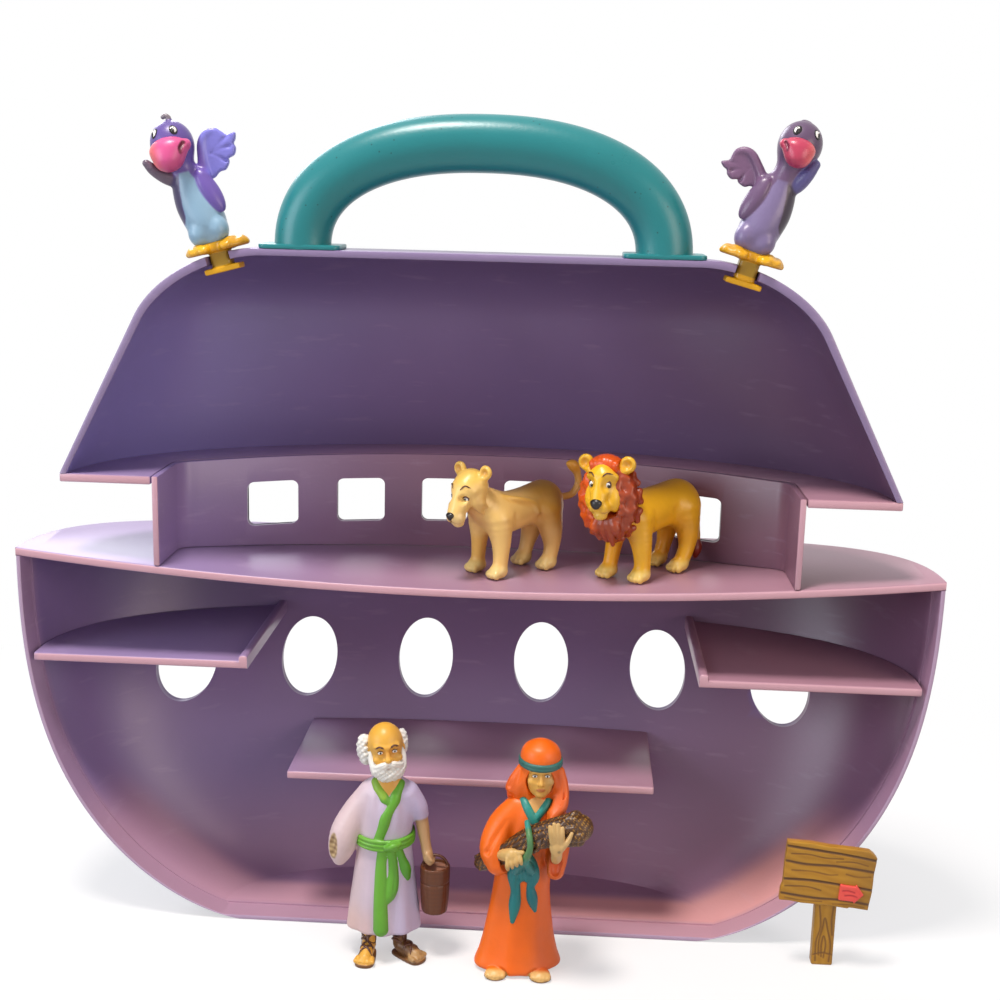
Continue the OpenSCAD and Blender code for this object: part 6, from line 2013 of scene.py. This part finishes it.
def bundle_place(f, turn, out):
    """Place on the bundle: f is a share of its length, turn an angle round it, out a share of its radius."""
    p = spline(BUNDLE, 8)
    along = f * (len(p) - 1)
    k = min(int(along), len(p) - 2)
    step = p[k + 1] - p[k]
    at = p[k] + (along - k) * step
    run = step[:3] / np.linalg.norm(step[:3])
    u = np.cross(run, (0, 1, 0))
    u /= np.linalg.norm(u)
    return at[:3] + out * at[3] * (math.cos(turn) * u + math.sin(turn) * np.cross(run, u)), at[3]


def woman_bundle():
    clay = Clay((-19, -20.5, 33), (27, 6, 66.5), 0.36)
    clay.add(limb([(x, y, z, 0.8 * r) for x, y, z, r in BUNDLE]))
    for k in range(STICKS):
        turn = 2 * math.pi * k / STICKS
        path = []
        for f in np.linspace(0.02 * (k % 3), 1 - 0.02 * ((k + 1) % 3), 9):
            at, r = bundle_place(f, turn + 0.5 * f, 0.72)
            path.append((*at, 0.3 * r * (1 + 0.1 * math.sin(9 * f + 2 * k))))
        clay.add(limb(path, 2), blend=0.25)
    # knots and bark
    for k in range(KNOTS):
        f = (k * 0.618) % 1
        at, r = bundle_place(f, 2.4 * k, 0.97)
        size = (0.45 + 0.3 * f) * (1 + 0.3 * math.sin(7 * k))
        clay.add(blob(at, (size * 1.5, size, 0.8 * size)), blend=0.25)
    return clay


def woman_bundle_color(p):
    x, y, z = p.T
    grain = np.sin(5.1 * x + 3 * z) * np.sin(4.3 * z - 2.2 * y) * np.sin(3.7 * y + 1.3 * x)
    gold = ramp(grain, 0.25, 0.5)
    dark = ramp(-grain, 0.2, 0.5)
    return coats(p, (62, 33, 8), (0.85 * gold, (186, 128, 34)), (0.75 * dark, (34, 16, 4)),
                 (0.4 * ramp(x, 10, 22), (98, 62, 14)),
                 (0.35 * gold * ramp(x, 8, 20), (200, 160, 60)))


def woman_hands():
    clay = Clay((-9, -21.5, 41), (20, -6, 64.5), 0.28)
    clay.add(limb([(-6.4, -8.6, 45.4, 1.9), (-4.6, -11.8, 47, 2.2), (-2.6, -13.8, 48, 2.4)]))
    clay.add(blob(LEFT_PALM, (2.7, 1.7, 2.6)), blend=0.8)
    for k in range(4):
        clay.add(limb([(-4 + 1.4 * k, -15.2, 47.4 + 0.5 * k, 0.85), (-4 + 1.5 * k, -16, 45 + 0.7 * k, 0.8),
                       (-3.8 + 1.5 * k, -15, 43.2 + 0.8 * k, 0.62)]), blend=0.25)
    clay.add(limb([(-1, -14.6, 49.4, 0.9), (1.2, -15.6, 50, 0.7)]), blend=0.4)
    clay.add(limb([(12.4, -9, 45, 1.8), (12.6, -13.6, 48, 1.9), (12.6, -17, 51.4, 1.9)]), blend=0.5)
    clay.add(blob(RIGHT_PALM, (2.5, 1.4, 3)), blend=0.8)
    for k in range(4):
        tip = 62.4 - 0.55 * (k - 1.4) ** 2
        clay.add(limb([(10.9 + 1.15 * k, -18.4, 55.6, 0.9), (10.4 + 1.3 * k, -19, 59, 0.82),
                       (10 + 1.42 * k, -18.8, tip, 0.65)]), blend=0.25)
    clay.add(limb([(14.4, -18.2, 53.6, 1.1), (16.2, -18.6, 56.2, 0.9), (17.4, -18.4, 59, 0.65)]), blend=0.5)
    return clay


def woman_hands_color(p):
    x, _, z = p.T
    return coats(p, (210, 172, 104), (0.5 * ramp(x, 6, 16), (220, 184, 130)),
                 (0.4 * ramp(46 - z, 0, 3), (176, 136, 84)),
                 (0.5 * within(blob((13.4, -19, 52.4), (0.5, 1, 0.5)), p, 0.3), (90, 80, 60)))


def woman_sash(robe):
    clay = Clay((-9, -19.5, 17.5), (14, -1, 68.5), 0.35)
    clay.add(laid(robe, [(-0.4, 65, 1.5), (2, 61.4, 1.7), (4.8, 57, 1.7)], 0.7), blend=0.3)
    clay.add(laid(robe, [(10.2, 65, 1.4), (8, 62, 1.6), (5.2, 58.4, 1.5)], 0.8), blend=0.3)
    clay.add(limb([(2.2, -11.6, 59.2, 1), (3.2, -16.4, 56.4, 1.1), (3.6, -17.2, 52.6, 1.1),
                   (2.6, -15.6, 48.6, 1.3), (1.6, -13.4, 46.4, 1.8)]),
             blend=0.3)
    for tail in TIE_TAILS:
        clay.add(laid(robe, tail, 0.3), blend=0.4)
        clay.add(limb([(1.5, -13, 46, 1.6), ((1.5 + tail[1][0]) / 2, -11.6, 43.4, 1.7),
                       (tail[1][0], -9.6, 40.6, 1.8)]), blend=0.6)
    clay.add(laid(robe, [(1.5, 45.6, 1.8), (1.4, 41, 3.2), (1.5, 37, 2.4)], 0.4), blend=0.6)
    for points in TIE_GROOVES:
        clay.carve(laid(clay, points, -0.1), blend=0.6)
    return clay


def woman_sash_color(p):
    x, y, z = p.T
    return coats(p, (40, 138, 126), (ramp(46 - z, 0, 4), (10, 116, 118)),
                 (0.5 * ramp(44 - z, 0, 12) * ramp(x, 0, 5), (4, 92, 104)),
                 (0.7 * ramp(-y, 14, 16) * ramp(z - 46, 0, 3), (96, 126, 60)),
                 (0.3 * ramp(30 - z, 0, 8), (28, 128, 120)))


def make_woman():
    robe, head, head_at = woman_robe(), woman_head(), WOMAN_AT @ WOMAN_HEAD
    dress("woman", SATIN,
          [("woman_gown", robe, woman_robe_color, WOMAN_AT, "robe_orange", "woman_robe"),
           ("woman_face", head, woman_head_color, head_at, "skin_ochre", "woman_head"),
           ("woman_veil", woman_veil(), woman_veil_color, WOMAN_AT, "robe_orange", "woman_head_cloth"),
           ("woman_brow_band", woman_band(), woman_band_color, WOMAN_AT, "sash_teal", "woman_headband"),
           ("woman_sticks", woman_bundle(), woman_bundle_color, WOMAN_AT, "brown_paint", "stick_bundle"),
           ("woman_palms", woman_hands(), woman_hands_color, WOMAN_AT, "skin_ochre", "woman_hands"),
           ("woman_ties", woman_sash(robe), woman_sash_color, WOMAN_AT, "sash_teal", "woman_sash")])
    face = calm_face(head, apart=2.15, level=5.9, white=(1.6, 0.9), pupil=(0, 0.8, 0.86),
                     lid=(1, 0.2, 0.6, 0.15), brow=(1.3, 1.4, 1.6, 2.05, 0.26))
    place_all(face, "woman_eyes", "woman", "skin_ochre", head_at)


make_woman()


# Signpost with a plain plank board and an arrow

SIGN_X, SIGN_Y, POST_W, POST_D = 129, 10, 7.6, 4.5
BOARD_H, BOARD_Z, BOARD_LEAN, BOARD_OUT = 23.4, 24.4, 4.5, 0.5
BOARD_AT = (Matrix.Translation((SIGN_X - BOARD_OUT, -SIGN_Y - POST_D / 2, BOARD_Z + BOARD_H / 2))
            @ Matrix.Rotation(math.radians(BOARD_LEAN), 4, "Y"))
BOARD_OUTLINE = [(-16, 11.3), (-8, 11.6), (0, 11.1), (8, 11.2), (13, 11), (14.6, 10), (15.9, 8.6), (15.7, 2),
                 (16, -4), (15.6, -11.4), (9, -11.2), (8.4, -11.6), (0, -11.3), (-8, -11.6), (-12, -11.2),
                 (-15.8, -11.4), (-15.9, -7), (-15.4, -5), (-15.8, 3)]
PLANK_LINES = [[(-16.5, 9.6), (-6, 9.2), (6, 8.6), (16.5, 7.6)],
               [(-16.5, 4), (-8, 3.4), (2, 3.9), (16.5, 3.2)],
               [(-16.5, -3), (-6, -2.4), (4, -2.8), (16.5, -3.6)],
               [(-16.5, -8.4), (-4, -9), (6, -8.6), (16.5, -9.2)]]
GRAIN_LINES = [[(-14, 6.8), (-8, 7.2), (-2, 6.6), (4, 7)], [(2, 5.6), (8, 6.2), (13, 5.4)],
               [(-13, 0.6), (-6, 1), (0, 0.4), (3, 0.8)], [(6, 1.4), (10, 0.8), (14.6, 1.4)],
               [(-14.6, -5.6), (-7, -5), (-2, -5.8)], [(-14, -10), (-8, -10.4), (-1, -10)],
               [(3, -10.4), (9, -10), (14, -10.4)]]
POST_LINES = [[(-2.4, 1.6), (-2.6, 9), (-1.4, 15), (-2.2, 23)],
              [(2.4, 1.6), (2.6, 8), (1.2, 14), (0, 18.4), (-0.6, 15), (-1.6, 9), (-1.4, 4)],
              [(0.4, 3), (0.9, 8), (0, 11.4), (-0.6, 8), (-0.4, 3.4)], [(2.9, 12), (2.4, 18), (2.8, 23.6)],
              [(-3.4, 4), (0, 4.8), (3.4, 4.2)]]
ARROW = [(-0.2, 3), (5.2, 2.8), (5.3, 3.7), (8.4, 0), (5.4, -3.7), (5.2, -2.9), (-0.1, -2.9)]
ARROW_AT = (4.6, -5.4)
ARROW_LINES = [[(1, 0.8), (3, 1), (5, 0.6)], [(2, -0.9), (4, -0.6), (6, -1)]]


def groove(points, depth, wide):
    """Round groove at a depth, through points in X and Z."""
    return limb([(x, depth, z, wide) for x, z in points])


def groove_mask(lines, p, soft, *grooves):
    """Where grooves, given as (depth, radius), are painted along lines."""
    return sum(within(groove(line, depth, wide), p, soft) for line in lines for depth, wide in grooves)


def sign_board():
    clay = Clay((-17.5, -4.6, -13), (17.5, 1.4, 13), 0.25)
    clay.add(leaf(BOARD_OUTLINE, lambda x, z: -1.4 + 0.12 * np.sin(0.5 * z) + 0.06 * np.sin(0.7 * x), 1.45,
                  edge=0.5))
    for line in PLANK_LINES:
        clay.carve(groove(line, -2.95, 0.38), groove(line, 0.15, 0.34), blend=0.3)
    for line in GRAIN_LINES:
        clay.carve(groove(line, -2.95, 0.2), blend=0.25)
    return clay


def sign_board_color(p):
    x, y, z = p.T
    lines = groove_mask(PLANK_LINES, p, 0.25, (-2.8, 0.46))
    grain = groove_mask(GRAIN_LINES, p, 0.22, (-2.9, 0.26))
    streak = 0.5 + 0.5 * np.sin(2.1 * z + 0.8 * np.sin(0.5 * x) + 0.3 * x)
    return coats(p, (172, 122, 28), (0.5 * streak, (196, 148, 46)), (0.5 * ramp(x, 4, 16), (140, 100, 34)),
                 (0.9 * lines, (78, 46, 12)), (0.75 * grain, (96, 58, 14)),
                 (0.5 * ramp(z, 10.6, 11.6) * ramp(y, -2.6, -1.6), (206, 140, 90)))


def sign_post():
    clay = Clay((-5.5, -3.5, -0.4), (5.5, 3.5, 44.5), 0.3)
    clay.add(block((-POST_W / 2, -POST_D / 2, 0), (POST_W / 2, POST_D / 2, BOARD_Z + 0.8 * BOARD_H), 0.6))
    for line in POST_LINES:
        clay.carve(groove(line, -POST_D / 2, 0.24), groove(line, POST_D / 2, 0.24), blend=0.3)
    return clay


def sign_post_color(p):
    x, _, z = p.T
    lines = groove_mask(POST_LINES, p, 0.22, (-POST_D / 2, 0.28), (POST_D / 2, 0.28))
    streak = 0.5 + 0.5 * np.sin(2.4 * x + 0.9 * np.sin(0.4 * z))
    return coats(p, (176, 126, 30), (0.5 * streak, (198, 150, 52)), (0.5 * ramp(x, 1, 4), (132, 92, 30)),
                 (0.85 * lines, (92, 54, 12)))


def sign_arrow():
    clay = Clay((-2, -5, -5.5), (10.5, -1, 5.5), 0.22)
    clay.add(leaf(ARROW, lambda x, z: -3.1 + 0 * x, 0.7, edge=0.35))
    for line in ARROW_LINES:
        clay.carve(groove(line, -3.85, 0.2), blend=0.25)
    return clay


def sign_arrow_color(p):
    lines = groove_mask(ARROW_LINES, p, 0.2, (-3.8, 0.35))
    return coats(p, (236, 88, 78), (0.4 * ramp(p[:, 0], 3, 8), (220, 70, 66)), (0.7 * lines, (180, 44, 50)))


def make_sign():
    post_at = Matrix.Translation((SIGN_X, -SIGN_Y, 0))
    arrow_at = BOARD_AT @ Matrix.Translation((ARROW_AT[0], 0, ARROW_AT[1]))
    dress("sign", SATIN,
          [("sign_plank", sign_board(), sign_board_color, BOARD_AT, "sign_olive", "sign_board"),
           ("sign_stake", sign_post(), sign_post_color, post_at, "sign_olive", "sign_post"),
           ("sign_pointer", sign_arrow(), sign_arrow_color, arrow_at, "arrow_red", "sign_arrow")])


make_sign()


# Camera, lights and floor

FOCAL_PX, IMAGE_PX, SENSOR = 1450, 1000, 36
CAMERA_AT = (0.0322, -0.4919, 0.2705)
PITCH, YAW, ROLL = math.radians(12.2), math.radians(2.75), math.radians(1.46)
WORLD_LIGHT = 0.26
FLOOR_HALF = 4000

# Place, target, size, power and colour of each light
LIGHTS = {"key": ((-0.22, -0.26, 1.3), (0, 0, 0.12), 0.3, 14, (1.0, 0.93, 0.88)),
          "left_fill": ((-0.85, -0.6, 0.4), (0, 0, 0.12), 0.6, 4.5, (0.84, 0.9, 1.0)),
          "right_fill": ((0.8, -0.7, 0.4), (0, 0, 0.12), 0.6, 3.6, (1.0, 0.82, 0.7)),
          "back": ((-0.5, 0.9, 0.8), (0, 0.05, 0.15), 0.6, 6, (0.9, 0.92, 1.0))}


def make_camera():
    """Camera at the photograph's place and angle."""
    upright = Matrix(((1, 0, 0), (0, 0, -1), (0, 1, 0)))
    turn = (Matrix.Rotation(ROLL, 3, "Z") @ Matrix.Rotation(PITCH, 3, "X") @ Matrix.Rotation(YAW, 3, "Y")
            @ upright)
    right, down, ahead = turn[0], turn[1], turn[2]
    data = bpy.data.cameras.new("camera")
    data.sensor_width = SENSOR
    data.sensor_fit = "HORIZONTAL"
    data.lens = FOCAL_PX / IMAGE_PX * SENSOR
    data.clip_start = 0.01
    camera = link("camera", data)
    axes = Matrix((right, -down, -ahead)).transposed().to_4x4()
    camera.matrix_world = Matrix.Translation(CAMERA_AT) @ axes
    bpy.context.scene.camera = camera


def area_light(name, at, target, size, power, color):
    data = bpy.data.lights.new(name, "AREA")
    data.shape = "DISK"
    data.size = size
    data.energy = power
    data.color = color
    light = link(name, data)
    light.location = at
    light.rotation_euler = (Vector(target) - Vector(at)).to_track_quat("-Z", "Y").to_euler()


def seen_directly(tree):
    """1 for rays that show the stage, directly or in a reflection, and 0 for the light that it gives."""
    path = node(tree, "ShaderNodeLightPath").outputs
    seen = path["Is Camera Ray"]
    for kind in ("Is Transmission Ray", "Is Glossy Ray"):
        seen = node(tree, "ShaderNodeMath", {0: seen, 1: path[kind]}, operation="MAXIMUM").outputs[0]
    return seen


def make_world():
    world = bpy.data.worlds.new("studio")
    world.use_nodes = True
    bpy.context.scene.world = world
    tree = world.node_tree
    tree.nodes.clear()
    fill = node(tree, "ShaderNodeBackground", {"Color": (0.9, 0.92, 1.0, 1), "Strength": WORLD_LIGHT})
    white = node(tree, "ShaderNodeBackground", {"Color": (1, 1, 1, 1), "Strength": 1.0})
    both = node(tree, "ShaderNodeMixShader",
                {0: seen_directly(tree), 1: fill.outputs[0], 2: white.outputs[0]})
    node(tree, "ShaderNodeOutputWorld", {"Surface": both.outputs[0]})


def make_floor():
    """Pale floor with a soft shadow near the toy. It fades to white and throws little light back."""
    corners = [(FLOOR_HALF * x, FLOOR_HALF * y, 0) for x, y in ((-1, -1), (1, -1), (1, 1), (-1, 1))]
    floor = make_object("floor", corners, [(0, 1, 2, 3)])
    floor.data.transform(Matrix.Scale(MM, 4))
    mat = bpy.data.materials.new("floor_white")
    mat.use_nodes = True
    tree = mat.node_tree
    shader = tree.nodes["Principled BSDF"]
    speck = node(tree, "ShaderNodeTexNoise", {"Scale": 40.0})
    tone = remap(tree, speck.outputs["Fac"], 0.0, 1.0, 0.93, 0.96)
    tree.links.new(tone, shader.inputs["Base Color"])
    shader.inputs["Roughness"].default_value = 0.9
    seen = seen_directly(tree)
    place_at = node(tree, "ShaderNodeTexCoord").outputs["Object"]
    away = node(tree, "ShaderNodeVectorMath", {0: place_at}, operation="LENGTH")
    fade = remap(tree, away.outputs["Value"], 0.05, 0.42, 0.5, 1.0)
    white = node(tree, "ShaderNodeEmission", {"Color": (1, 1, 1, 1), "Strength": 1.0})
    shown = node(tree, "ShaderNodeMixShader", {0: fade, 1: shader.outputs[0], 2: white.outputs[0]})
    dull = node(tree, "ShaderNodeBsdfDiffuse", {"Color": (0.42, 0.4, 0.4, 1)})
    both = node(tree, "ShaderNodeMixShader", {0: seen, 1: dull.outputs[0], 2: shown.outputs[0]})
    tree.links.new(both.outputs[0], tree.nodes["Material Output"].inputs["Surface"])
    floor.data.materials.append(mat)


def make_stage():
    make_camera()
    make_world()
    make_floor()
    for name, values in LIGHTS.items():
        area_light(name, *values)
    bpy.context.scene.view_settings.view_transform = "Standard"


make_stage()
